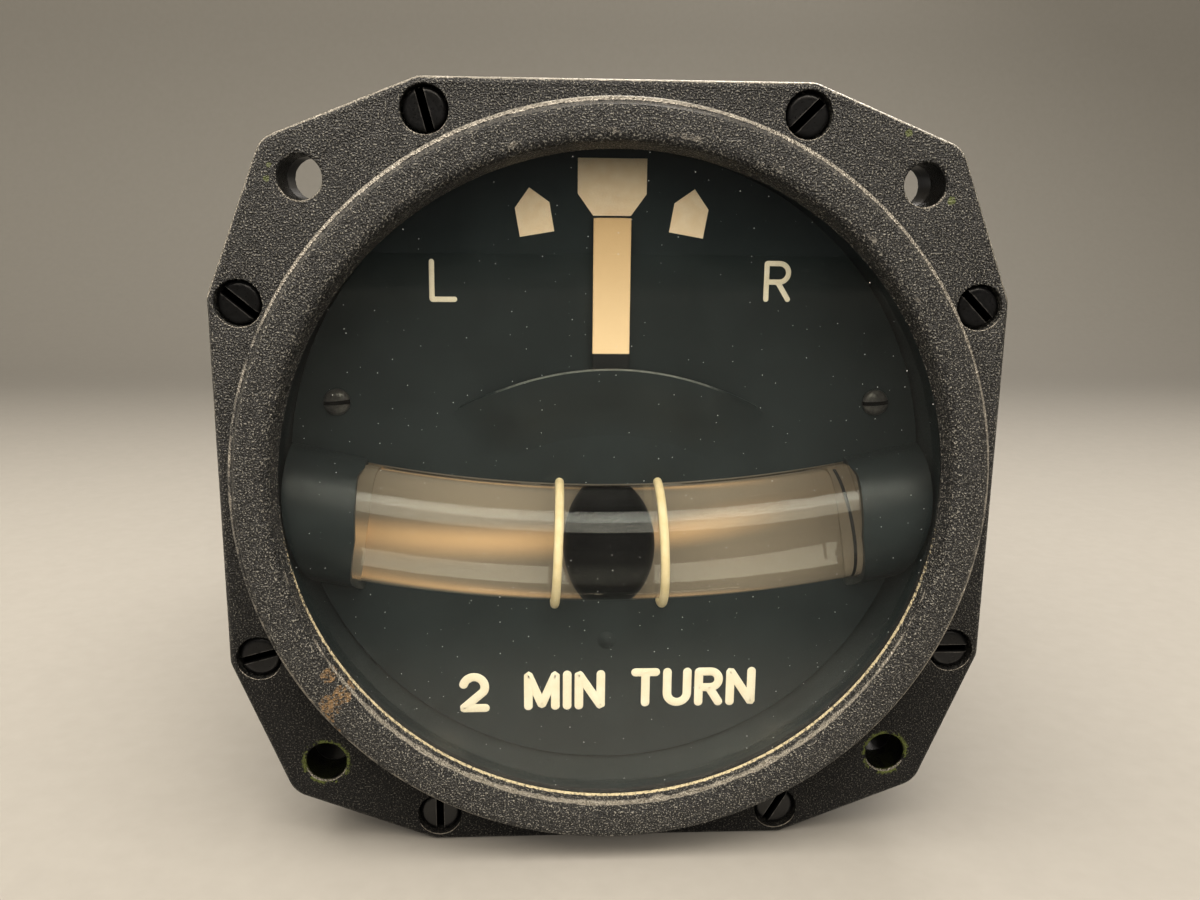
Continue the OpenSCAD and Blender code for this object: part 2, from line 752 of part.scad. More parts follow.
// Turn pointer: bent strip that rises behind the tube and comes out of the hood, and what shares its staff
module side_plate(x0, x1) {
    translate([x0, 0, 0]) rotate([90, 0, 90]) linear_extrude(x1 - x0) children();
}
module turn_pointer() {
    tip_z = pivot_z + pointer_len;
    color("#d8c09a") difference() {
        union() {
            side_plate(-pointer_w / 2, pointer_w / 2) polygon([[arm_front, pivot_z],
                [arm_front, arm_bend_z], [needle_front, needle_bend_z], [needle_front, tip_z],
                [needle_back, tip_z], [needle_back, needle_bend_z], [arm_back, arm_bend_z],
                [arm_back, pivot_z]]);
            at_pivot() rod_y(hub_r, arm_front, arm_back);
        }
        at_pivot() rod_y(staff_r + seat_gap, arm_front - cut, arm_back + cut);
    }
}
module pointer_staff() {
    color("#b9bcc0") at_pivot() {
        rod_y(staff_r, bridge_front, plate_back);
        rod_y(collar_r, arm_back, fork_front);
    }
}
module pointer_fork() {
    reach = -pivot_z - drive_r;
    slot_half = drive_pin_r + drive_gap;
    neck_half = slot_half + fork_prong;
    slot_low = reach - fork_slot_in;
    fork_top = reach + fork_tip;
    color("#c9a557") at_pivot() difference() {
        union() {
            rod_y(hub_r, fork_front, fork_back);
            block([-neck_half, fork_front, 0], [neck_half, fork_back, fork_top]);
        }
        rod_y(staff_r + seat_gap, fork_front - cut, fork_back + cut);
        block([-slot_half, fork_front - cut, slot_low], [slot_half, fork_back + cut, fork_top + cut]);
    }
}
module pointer_counterweight() {
    color("#b08d57") at_pivot() difference() {
        union() {
            rod_y(hub_r, arm_front - tail_t, arm_front);
            block([-tail_half, arm_front - tail_t, -counter_reach], [tail_half, arm_front, 0]);
            translate([0, 0, -counter_reach]) rod_y(counter_r, arm_front - counter_l, arm_front);
        }
        rod_y(staff_r + seat_gap, arm_front - counter_l - cut, arm_front + cut);
    }
}
bush_r = staff_r + run_gap + bush_wall;
module pointer_bridge() {
    color("#9a9c9e") at_pivot() difference() {
        block([-bridge_half, bridge_front, -bridge_h / 2], [bridge_half, plate_front, bridge_h / 2]);
        block([-bridge_half + bridge_leg, bridge_back, -bridge_h],
            [bridge_half - bridge_leg, plate_front + cut, bridge_h]);
        rod_y(bush_r + seat_gap, bridge_front - cut, bridge_back + cut);
    }
}
module pointer_bushes() {
    color("#b5894a") at_pivot() {
        tube_along_y(bush_r, staff_r + run_gap, bridge_front, bridge_back);
        tube_along_y(bush_r, staff_r + run_gap, plate_front, plate_back);
    }
}

// Frame: two plates, four posts, their screws and the stops
post_half = post_circle_r / sqrt(2);
module front_plate() {
    sweep_half = drive_sweep + drive_pin_r + drive_slot_gap;
    color("#a9abad") difference() {
        rod_y(sleeve_r, plate_front, plate_back);
        rod_y(gimbal_bearing_r + seat_gap, plate_front - cut, plate_back + cut);
        at_pivot() rod_y(bush_r + seat_gap, plate_front - cut, plate_back + cut);
        block([-sweep_half, plate_front - cut, -drive_r - drive_pin_r - drive_slot_gap],
            [sweep_half, plate_back + cut, -drive_r * cos(gimbal_tilt) + drive_pin_r + drive_slot_gap]);
        four_corners(post_half) rod_y(frame_shank_r + screw_gap, plate_front - cut, plate_back + cut);
        at_dial_screws() rod_y(dial_post_r / 2 + seat_gap, plate_front - cut, plate_back + cut);
        both_sides() translate([stop_x, 0, stop_z])
            rod_y(stop_r + seat_gap, plate_front - cut, plate_back + cut);
    }
}
module rear_plate() {
    color("#a9abad") difference() {
        rod_y(rear_plate_r, rear_plate_front, rear_plate_back);
        rod_y(gimbal_bearing_r + seat_gap, rear_plate_front - cut, rear_plate_back + cut);
        four_corners(post_half)
            rod_y(frame_shank_r + screw_gap, rear_plate_front - cut, rear_plate_back + cut);
        translate([0, 0, spring_low_z])
            rod_y(adjuster_r + seat_gap, rear_plate_front - cut, rear_plate_back + cut);
    }
}
module frame_posts() {
    color("#b9bcc0") four_corners(post_half) difference() {
        rod_y(post_r, plate_back, rear_plate_front);
        rod_y(frame_shank_r + screw_gap, plate_back - cut, plate_back + frame_shank_l);
        rod_y(frame_shank_r + screw_gap, rear_plate_front - frame_shank_l, rear_plate_front + cut);
    }
}
module frame_screws() {
    grip = plate_t + frame_shank_l - cut;
    color("#8d8f92") four_corners(post_half) {
        translate([0, plate_front, 0])
            screw(frame_head_r, frame_head_h, frame_shank_r, grip, slot_angle = 30);
        translate([0, rear_plate_back, 0])
            rear_screw(frame_head_r, frame_head_h, frame_shank_r, grip, slot_angle = 60);
    }
}
module travel_stops() {
    color("#77797c") both_sides() translate([stop_x, 0, stop_z])
        rod_y(stop_r, plate_front, gimbal_in_front);
}

// Gimbal: frame with its pivots, bearings and pins
module gimbal_frame() {
    color("#8f9295") difference() {
        union() {
            difference() {
                block([-gimbal_out_half, gimbal_front, -gimbal_half_h],
                    [gimbal_out_half, gimbal_back, gimbal_half_h]);
                block([-gimbal_in_half, gimbal_in_front, -gimbal_h],
                    [gimbal_in_half, gimbal_in_back, gimbal_h]);
            }
            block([-lug_w / 2, gimbal_front, -drive_r - lug_rim],
                [lug_w / 2, gimbal_in_front, -gimbal_half_h + cut]);
            block([-lug_w / 2, gimbal_in_back, spring_pin_z - lug_rim],
                [lug_w / 2, gimbal_back, -gimbal_half_h + cut]);
        }
        rod_y(gimbal_pivot_r + seat_gap, gimbal_front - cut, gimbal_front + pivot_grip);
        rod_y(gimbal_pivot_r + seat_gap, gimbal_back - pivot_grip, gimbal_back + cut);
        at_rotor() rod_x(rotor_bearing_r + seat_gap, -gimbal_out_half - cut, gimbal_out_half + cut);
        translate([0, 0, -drive_r])
            rod_y(drive_pin_r + seat_gap, gimbal_front - cut, gimbal_front + pivot_grip);
        translate([0, 0, spring_pin_z])
            rod_y(spring_pin_r + seat_gap, gimbal_back - pivot_grip, gimbal_back + cut);
        translate([-damper_off, 0, 0])
            rod_y(damper_pin_r + seat_gap, gimbal_back - pivot_grip, gimbal_back + cut);
    }
}
module gimbal_pivots() {
    color("#c4c7ca") {
        rod_y(gimbal_pivot_r, plate_front + seat_gap, gimbal_front + pivot_grip);
        rod_y(gimbal_pivot_r, gimbal_back - pivot_grip, rear_plate_back - seat_gap);
    }
}
module gimbal_bearings() {
    color("#b5894a") {
        tube_along_y(gimbal_bearing_r, gimbal_pivot_r + run_gap, plate_front, plate_back);
        tube_along_y(gimbal_bearing_r, gimbal_pivot_r + run_gap, rear_plate_front, rear_plate_back);
    }
}
module drive_pin() {
    color("#c4c7ca") translate([0, 0, -drive_r])
        rod_y(drive_pin_r, fork_front - drive_pin_past, gimbal_front + pivot_grip);
}
module damper_pin() {
    color("#c4c7ca") translate([-damper_off, 0, 0])
        rod_y(damper_pin_r, gimbal_back - pivot_grip, damper_y + damper_head_t / 2 + cut);
}
module spring_pin() {
    color("#c4c7ca") translate([0, 0, spring_pin_z])
        rod_y(spring_pin_r, gimbal_back - pivot_grip, spring_y + spring_pin_past);
}

// Rotor: shaft, flywheel, armature, commutator and speed governor
module rotor_shaft() {
    color("#c4c7ca") at_rotor() rod_x(shaft_r, -gimbal_out_half + cut, gimbal_out_half - cut);
}
module rotor_bearings() {
    color("#b5894a") both_sides() at_rotor()
        tube_along_x(rotor_bearing_r, shaft_r + run_gap, gimbal_in_half, gimbal_out_half);
}
module rotor_flywheel() {
    color("#c79b4b") at_rotor() difference() {
        union() {
            tube_along_x(flywheel_r, flywheel_r - flywheel_rim, flywheel_left, flywheel_right);
            rod_x(flywheel_r - flywheel_rim / 2, flywheel_mid - flywheel_web / 2,
                flywheel_mid + flywheel_web / 2);
            rod_x(flywheel_hub_r, flywheel_left, flywheel_right);
        }
        rod_x(shaft_r + seat_gap, flywheel_left - cut, flywheel_right + cut);
    }
}
module armature_core() {
    color("#7d5a3a") at_rotor() difference() {
        rod_x(armature_r, armature_left, armature_right);
        rod_x(shaft_r + seat_gap, armature_left - cut, armature_right + cut);
        for (i = [1:winding_slots]) rotate([360 * i / winding_slots, 0, 0])
            translate([0, 0, armature_r - winding_slot_r / 2])
                rod_x(winding_slot_r, armature_left - cut, armature_right + cut);
    }
}
module commutator() {
    color("#b87333") at_rotor() difference() {
        rod_x(commutator_r, commutator_left, commutator_right);
        rod_x(shaft_r + seat_gap, commutator_left - cut, commutator_right + cut);
        for (i = [1:winding_slots]) rotate([360 * i / winding_slots, 0, 0])
            block([commutator_left - cut, -commutator_cut / 2, commutator_r - commutator_cut_depth],
                [commutator_right + cut, commutator_cut / 2, commutator_r + cut]);
    }
}
module governor() {
    disc_left = governor_left + governor_hub_l;
    weight_low = governor_disc_r - governor_weight - governor_rim;
    color("#a08a5a") at_rotor() difference() {
        union() {
            rod_x(governor_hub_r, governor_left, governor_right);
            rod_x(governor_disc_r, disc_left, disc_left + governor_disc_t);
            for (side = [0, 180]) rotate([side, 0, 0])
                block([disc_left, -governor_weight_half, weight_low],
                    [disc_left + governor_weight_l, governor_weight_half, weight_low + governor_weight]);
        }
        rod_x(shaft_r + seat_gap, governor_left - cut, governor_right + cut);
    }
}

// Motor pieces that the gimbal carries
module motor_yoke() {
    color("#5d6064") at_rotor() tube_along_x(yoke_r, yoke_in_r, armature_left - cut, gimbal_in_half);
}
module field_magnets() {
    color("#3f4246") at_rotor() for (turn = [0, 180])
        rotate([0, 90, 0]) rotate([0, 0, turn - magnet_span / 2]) rotate_extrude(angle = magnet_span)
            translate([armature_r + air_gap, armature_left]) square([magnet_t, armature_l]);
}
brush_x = (commutator_left + commutator_right) / 2;
module brush_plate() {
    holder_half = brush_w / 2 + brush_wall;
    slide_half = brush_w / 2 + seat_gap;
    color("#6b3f26") at_rotor() difference() {
        union() {
            rod_x(yoke_in_r - seat_gap, brush_plate_left, brush_plate_left + brush_plate_t);
            for (side = [0, 180]) rotate([side, 0, 0])
                block([brush_x - holder_half, -holder_half, commutator_r + brush_holder_gap],
                    [brush_plate_left + cut, holder_half, brush_top]);
        }
        rod_x(brush_plate_bore_r, brush_plate_left - cut, brush_plate_left + brush_plate_t + cut);
        for (side = [0, 180]) rotate([side, 0, 0])
            block([brush_x - slide_half, -slide_half, commutator_r],
                [brush_x + slide_half, slide_half, brush_top + cut]);
    }
}
module brushes() {
    color("#2c2c2e") at_rotor() for (side = [0, 180]) rotate([side, 0, 0])
        block([brush_x - brush_w / 2, -brush_w / 2, commutator_r + brush_gap],
            [brush_x + brush_w / 2, brush_w / 2, brush_top - brush_set]);
}

// A tube of even thickness swept along a path, with its frame carried from ring to ring
function unit(v) = v / norm(v);
function tangents(path) = [for (i = [0:len(path) - 1])
    unit(path[min(i + 1, len(path) - 1)] - path[max(i - 1, 0)])];
function normals(tangent, i, last) = i == len(tangent) ? [] :
    let (n = unit(last - tangent[i] * (last * tangent[i]))) concat([n], normals(tangent, i + 1, n));
module swept_tube(path, r, sides, first_normal) {
    tangent = tangents(path);
    normal = normals(tangent, 0, first_normal);
    rings = len(path);
    points = [for (i = [0:rings - 1]) for (j = [0:sides - 1]) let (a = 360 * j / sides)
        path[i] + r * (cos(a) * normal[i] + sin(a) * cross(tangent[i], normal[i]))];
    sides_a = [for (i = [0:rings - 2]) for (j = [0:sides - 1])
        [i * sides + j, (i + 1) * sides + j, i * sides + (j + 1) % sides]];
    sides_b = [for (i = [0:rings - 2]) for (j = [0:sides - 1])
        [i * sides + (j + 1) % sides, (i + 1) * sides + j, (i + 1) * sides + (j + 1) % sides]];
    start = [for (j = [1:sides - 2]) [0, j, j + 1]];
    last = (rings - 1) * sides;
    end = [for (j = [1:sides - 2]) [last, last + j + 1, last + j]];
    polyhedron(points, concat(sides_a, sides_b, start, end));
}

// Centering spring: a hook round the adjuster, the coils and a hook round the gimbal's spring pin
coil_rings = 8;
spring_sides = 6;
coil_low_z = spring_low_z + hook_r + spring_lead;
coil_steps = spring_coils * coil_rings;
function hook_path(z, from, to) = [for (i = [0:coil_rings]) let (a = from + (to - from) * i / coil_rings)
    [hook_r * cos(a), spring_y, z + hook_r * sin(a)]];
function coil_r(i) = spring_r * min(1, 2 * min(i, coil_steps - i) / coil_rings);
coil_path = [for (i = [1:coil_steps - 1]) let (a = 360 * i / coil_rings)
    [coil_r(i) * cos(a), spring_y + coil_r(i) * sin(a), coil_low_z + spring_body * i / coil_steps]];
spring_path = concat(hook_path(spring_low_z, -180, 90), coil_path, hook_path(spring_pin_z, -90, 180));
spring_gap = min([for (i = [0:len(spring_path) - 1]) for (j = [i + coil_rings / 2:len(spring_path) - 1])
    norm(spring_path[i] - spring_path[j])]) - spring_wire;
module centering_spring() {
    echo(least_spring_gap = spring_gap);
    color("#aeb2b6") swept_tube(spring_path, spring_wire / 2, spring_sides, [0, 1, 0]);
}
module spring_adjuster() {
    color("#b08d57") translate([0, 0, spring_low_z]) {
        rod_y(adjuster_r, spring_y - spring_pin_past, rear_plate_back);
        rod_y(adjuster_collar_r, rear_plate_front - adjuster_collar_l, rear_plate_front);
        translate([0, rear_plate_back, 0])
            rear_screw(adjuster_collar_r, frame_head_h, adjuster_r, cut, slot_angle = 0);
    }
}

// Damper: cylinder on the rear plate, its cap, and the piston with the slotted head on the gimbal's pin
module at_damper() { translate([-damper_off, damper_y, 0]) children(); }
module damper_cylinder() {
    cup_top = damper_top - damper_end_t;
    foot_half = damper_r - damper_wall;
    color("#7f8386") at_damper() difference() {
        union() {
            rod_z(damper_r, damper_bottom, cup_top);
            block([-foot_half, 0, damper_bottom + damper_foot_inset],
                [foot_half, rear_plate_front - damper_y, cup_top - damper_foot_inset]);
        }
        rod_z(damper_r - damper_wall, damper_bottom + damper_end_t, cup_top + cut);
    }
}
module damper_cap() {
    color("#9fa3a6") at_damper() difference() {
        rod_z(damper_r, damper_top - damper_end_t, damper_top);
        rod_z(damper_rod_r + screw_gap, damper_top - damper_end_t - cut, damper_top + cut);
    }
}
module damper_piston() {
    slot_half = damper_off * (1 - cos(gimbal_tilt)) + damper_pin_r + damper_slot_gap;
    slot_half_h = damper_pin_r + damper_slot_gap;
    color("#c4c7ca") at_damper() difference() {
        union() {
            rod_z(damper_r - damper_wall - piston_gap, piston_z - piston_l / 2, piston_z + piston_l / 2);
            rod_z(damper_rod_r, piston_z, -damper_head_h / 2 + cut);
            block([-damper_head_w / 2, -damper_head_t / 2, -damper_head_h / 2],
                [damper_head_w / 2, damper_head_t / 2, damper_head_h / 2]);
        }
        block([-slot_half, -damper_head_t, -slot_half_h], [slot_half, damper_head_t, slot_half_h]);
    }
}

// Case, rear cover and their joint
module at_cover_screws() {
    for (i = [1:cover_screws]) rotate([0, 360 * (i - 0.5) / cover_screws, 0])
        translate([0, 0, cover_screw_circle]) children();
}
module instrument_case() {
    flange_back = bezel_t + case_flange_t;
    color("#202224") difference() {
        union() {
            face_plate(bezel_t, flange_back) flange_outline(case_flange_inset);
            rod_y(case_r, bezel_t, case_back);
        }
        rod_y(bore_front_r, bezel_t - cut, plate_back);
        rod_y(case_in_r, plate_back - cut, case_back + cut);
        four_corners(hole_half) rod_y(hole_d / 2, bezel_t - cut, flange_back + cut);
        at_bezel_screws() rod_y(shank_d / 2 + screw_gap, bezel_t - cut, flange_back + cut);
        at_cover_screws() rod_y(cover_shank_r + screw_gap, case_back - cover_thread_l - cut, case_back + cut);
    }
}
module rear_gasket() {
    color("#151515") difference() {
        tube_along_y(case_r, case_in_r, case_back, cover_front);
        at_cover_screws() rod_y(cover_shank_r + screw_gap, case_back - cut, cover_front + cut);
    }
}
module rear_cover() {
    color("#232527") difference() {
        union() {
            rod_y(case_r, cover_front, cover_back);
            tube_along_y(spigot_r, spigot_r - spigot_wall, case_back - spigot_l, cover_front + cut);
        }
        rod_y(barrel_r + pass_gap, cover_front - cut, cover_back + cut);
        at_cover_screws() rod_y(cover_shank_r + screw_gap, cover_front - cut, cover_back + cut);
        four_corners(conn_screw_spacing / 2)
            rod_y(conn_shank_r + screw_gap, cover_front - cut, cover_back + cut);
    }
}
module rear_cover_screws() {
    color("#8d8f92") at_cover_screws() translate([0, cover_back, 0])
        rear_screw(cover_head_r, cover_head_h, cover_shank_r, cover_back - case_back + cover_thread_l,
            slot_angle = 40);
}

// Connector: shell, insert, contact pins and screws, with its leads to the terminal block
module connector_shell() {
    color("#9b9d97") difference() {
        union() {
            face_plate(cover_back, conn_flange_back) square(conn_flange_w, center = true);
            rod_y(barrel_r, barrel_front, barrel_end);
        }
        rod_y(barrel_r - barrel_wall, barrel_front - cut, barrel_end + cut);
        four_corners(conn_screw_spacing / 2)
            rod_y(conn_shank_r + screw_gap, cover_back - cut, conn_flange_back + cut);
    }
}
module at_contact_pins() {
    for (i = [0:pin_count - 1]) rotate([0, 360 * i / pin_count, 0])
        translate([0, 0, pin_circle_r]) children();
}
module connector_insert() {
    color("#2b2a28") difference() {
        rod_y(barrel_r - barrel_wall - seat_gap, barrel_front, insert_end);
        at_contact_pins() rod_y(pin_r + seat_gap, barrel_front - cut, insert_end + cut);
    }
}
module connector_pins() { color("#c9b06a") at_contact_pins() rod_y(pin_r, pin_front, pin_end); }
module connector_screws() {
    color("#8d8f92") four_corners(conn_screw_spacing / 2) translate([0, conn_flange_back, 0])
        rear_screw(conn_head_r, conn_head_h, conn_shank_r, conn_flange_t + cover_t - cut, slot_angle = 20);
}
terminal_back = rear_plate_back + terminal_t;
module terminal_block() {
    color("#5a3522") {
        block([-terminal_w / 2, rear_plate_back, terminal_z - terminal_h / 2],
            [terminal_w / 2, terminal_back, terminal_z + terminal_h / 2]);
    }
}
module connector_leads() {
    lead_y = terminal_back + lead_r + seat_gap;
    color("#d8d3c4") both_sides() {
        from = [pin_circle_r * sin(120), pin_circle_r * cos(120)];
        swept_tube([[from[0], pin_front - seat_gap, from[1]], [from[0], pin_front - lead_r, from[1]],
            [from[0] + lead_r, lead_y, from[1] + 2 * lead_r], [lead_bow, lead_y, terminal_z / 4],
            [lead_bow, lead_y, terminal_z / 2],
            [(lead_bow + terminal_screw_x) / 2, lead_y, terminal_z * 3 / 4],
            [terminal_screw_x, lead_y, terminal_z]], lead_r, lead_sides, [1, 0, 0]);
    }
}

bezel();
bezel_screws();
cover_glass();
glass_gasket();
spacer_ring();
dial_plate();
dial_markings();
dial_screws();
dial_posts();
inclinometer_tube();
inclinometer_ball();
tube_plugs();
tube_end_covers();
tube_cradle();
index_wires();
turn_pointer();
pointer_staff();
pointer_fork();
pointer_counterweight();
pointer_bridge();
pointer_bushes();
front_plate();
rear_plate();
frame_posts();
frame_screws();
travel_stops();
gimbal_frame();
gimbal_pivots();
gimbal_bearings();
drive_pin();
damper_pin();
spring_pin();
rotor_shaft();
rotor_flywheel();
rotor_bearings();
armature_core();
commutator();
governor();
motor_yoke();
field_magnets();
brush_plate();
brushes();
centering_spring();
spring_adjuster();
damper_cylinder();
damper_cap();
damper_piston();
instrument_case();
rear_gasket();
rear_cover();
rear_cover_screws();
connector_shell();
connector_insert();
connector_pins();
connector_screws();
terminal_block();
connector_leads();
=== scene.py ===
import math

import bmesh
import bpy
import numpy as np
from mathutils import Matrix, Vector
from mathutils.geometry import delaunay_2d_cdt


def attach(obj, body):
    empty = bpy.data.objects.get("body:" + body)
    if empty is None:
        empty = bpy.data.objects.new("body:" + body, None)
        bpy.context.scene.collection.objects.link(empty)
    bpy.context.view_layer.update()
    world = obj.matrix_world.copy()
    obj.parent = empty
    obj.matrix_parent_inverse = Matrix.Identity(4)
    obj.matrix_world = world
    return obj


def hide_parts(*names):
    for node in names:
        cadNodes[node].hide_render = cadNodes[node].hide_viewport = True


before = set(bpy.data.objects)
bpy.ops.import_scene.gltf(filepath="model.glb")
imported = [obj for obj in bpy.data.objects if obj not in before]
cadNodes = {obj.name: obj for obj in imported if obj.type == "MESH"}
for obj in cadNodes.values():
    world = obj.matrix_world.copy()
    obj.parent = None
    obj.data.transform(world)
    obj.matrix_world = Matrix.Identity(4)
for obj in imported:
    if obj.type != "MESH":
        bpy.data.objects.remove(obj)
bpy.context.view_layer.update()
mm = 0.001  # every shape below is worked out in millimetres
print("frame loaded:", len(cadNodes), "nodes")


def toLinear(hexText):
    # sRGB hex to the linear colour that a shader takes
    c = np.array([int(hexText[i:i + 2], 16) for i in (1, 3, 5)]) / 255
    lin = np.where(c <= 0.04045, c / 12.92, ((c + 0.055) / 1.055) ** 2.4)
    return (*lin.tolist(), 1.0)


def newMaterial(name):
    # an empty material and the function that adds a node to it: a value that is another node's output is
    # linked, a From or To pair fills a span's Min and Max, and any other value is set on the node itself or,
    # failing that, on its socket; the node's outputs come back
    material = bpy.data.materials.new(name)
    material.use_nodes = True
    tree = material.node_tree
    tree.nodes.clear()

    def add(kind, settings=None):
        node = tree.nodes.new("ShaderNode" + kind)
        for key, value in (settings or {}).items():
            if isinstance(value, bpy.types.NodeSocket):
                tree.links.new(value, node.inputs[key])
            elif key in ("From", "To"):
                node.inputs[key + " Min"].default_value, node.inputs[key + " Max"].default_value = value
            elif isinstance(key, str) and hasattr(node, key):
                setattr(node, key, value)
            else:
                node.inputs[key].default_value = value
        return node.outputs
    return material, add


def solidFinish(name, tones, patch, grain, depth, rough, metal=0.0, stretch=(1, 1, 1), worn=None, mirror=0.5):
    # two tones in patches and a grain pressed into the surface; a finish that wears is bare metal where the
    # wear attribute meets a noise, and painted black and dull where it is below nought: painted shade in slot
    # floors and hole bores
    material, add = newMaterial(name)
    place = add("TexCoord")["Object"]
    drawn = add("Mapping", {"Scale": stretch, "Vector": place})[0]
    patches = add("TexNoise", {"Scale": 1 / (patch * mm), "Detail": 4.0, "Vector": drawn})[0]
    grains = add("TexNoise", {"Scale": 1 / (grain * mm), "Detail": 2.0, "Vector": drawn})[0]
    tone = add("MapRange", {"From": (0.35, 0.65), "Value": patches})[0]
    colour = add("Mix", {"data_type": "RGBA", 0: tone, 6: toLinear(tones[0]), 7: toLinear(tones[1])})[2]
    gloss = add("MapRange", {"From": (0.3, 0.7), "To": rough, "Value": grains})[0]
    relief = add("Bump", {"Strength": 1.0, "Distance": depth * mm, "Height": grains})[0]
    skin = {"Base Color": colour, "Roughness": gloss, "Normal": relief, "Metallic": metal,
            "Specular IOR Level": mirror}
    if worn:
        edge = add("Attribute", {"attribute_name": "wear"})["Fac"]
        # painted shade: wear below nought scales the colour and the sheen down towards nothing
        paintedShadeScale = add("MapRange", {"From": (-1.0, 0.0), "Value": edge})[0]
        colour = add("VectorMath", {"operation": "SCALE", 0: colour, "Scale": paintedShadeScale})[0]
        rub = add("TexNoise", {"Scale": 1 / (worn["patch"] * mm), "Detail": 5.0, "Roughness": 0.7,
                               "Vector": place})[0]
        both = add("Math", {"operation": "ADD", 0: edge, 1: rub})[0]
        bare = add("MapRange", {"From": (worn["from"], worn["to"]), "Value": both})[0]
        skin["Base Color"] = add("Mix", {"data_type": "RGBA", 0: bare, 6: colour,
                                         7: toLinear(worn["tone"])})[2]
        skin["Roughness"] = add("Mix", {"data_type": "FLOAT", 0: bare, 2: gloss, 3: worn["rough"]})[0]
        skin["Metallic"] = bare
        skin["Specular IOR Level"] = add("Math", {"operation": "MULTIPLY", 0: paintedShadeScale, 1: mirror})[0]
    add("OutputMaterial", {"Surface": add("BsdfPrincipled", skin)[0]})
    return material


def clearFinish(name, tint, ior, speck):
    # clear glass whose only texture is a scatter of dust on its front: a speck lets less light through
    material, add = newMaterial(name)
    place = add("TexCoord")["Object"]
    flat = add("Mapping", {"Rotation": (math.radians(-90), 0, 0), "Vector": place})[0]
    cells = add("TexVoronoi", {"voronoi_dimensions": "2D", "Scale": 1 / (speck["gap"] * mm), "Vector": flat})
    share = add("SeparateColor", {"Color": cells["Color"]})[0]
    size = add("MapRange", {"From Min": speck["rare"], "To Max": speck["size"] / speck["gap"],
                            "Value": share})[0]
    depth = add("SeparateXYZ", {"Vector": place})[1]
    front = add("Math", {"operation": "LESS_THAN", 0: depth, 1: speck["front"] * mm})[0]
    size = add("Math", {"operation": "MULTIPLY", 0: size, 1: front})[0]
    inside = add("Math", {"operation": "LESS_THAN", 0: cells["Distance"], 1: size})[0]
    through = add("MapRange", {"To": (1.0, speck["through"]), "Value": inside})[0]
    skin = add("BsdfPrincipled", {"Base Color": toLinear(tint), "Roughness": 0.0, "IOR": ior,
                                  "Transmission Weight": through})
    add("OutputMaterial", {"Surface": skin[0]})
    return material


# spots are (x, z, reach); an At is the span of noise over which a tone comes in
enamel = {"tones": ("#0a0a0b", "#151515"), "patch": 6.0, "grain": 0.18, "depth": 0.42, "rough": (0.26, 0.44),
          "peak": "#8c897f", "peakAt": (0.57, 0.67), "flangeY": -0.45, "flangeShadeZ": (6.0, -24.0),
          "flangeShadeDepth": -0.7, "metal": "#aca69b", "metalRough": 0.34, "metalAt": (1.1, 1.3), "rub": 2.4,
          "dust": "#cbbd98", "dustGrain": 0.3, "dustAt": (1.27, 1.5), "dustR": 34.86, "dustY": (-3.2, -2.75),
          "dustZ": (12.0, -14.0), "hole": 31.4324, "holeR": 2.45, "holeY": (0.1, 0.5), "holeShadeTone": "#030303",
          "stainR": 3.6, "stainAt": (0.38, 0.5),
          "green": "#525a2c", "greenAt": (1.25, 1.52),
          "greenSpots": ((34.2, 29.9, 0.7), (29.3, 36.5, 0.6), (-34.6, 31.3, 0.5), (-34.3, 32.6, 0.4)),
          "chip": "#8a6c46", "chipAt": (1.4, 1.66),
          "chipSpots": ((-29.9, -19.2, 1.3), (-28.5, -21.3, 1.7), (-29.8, -22.5, 2.0), (-30.3, -24.0, 1.5),
                        (-29.3, -25.6, 0.9))}


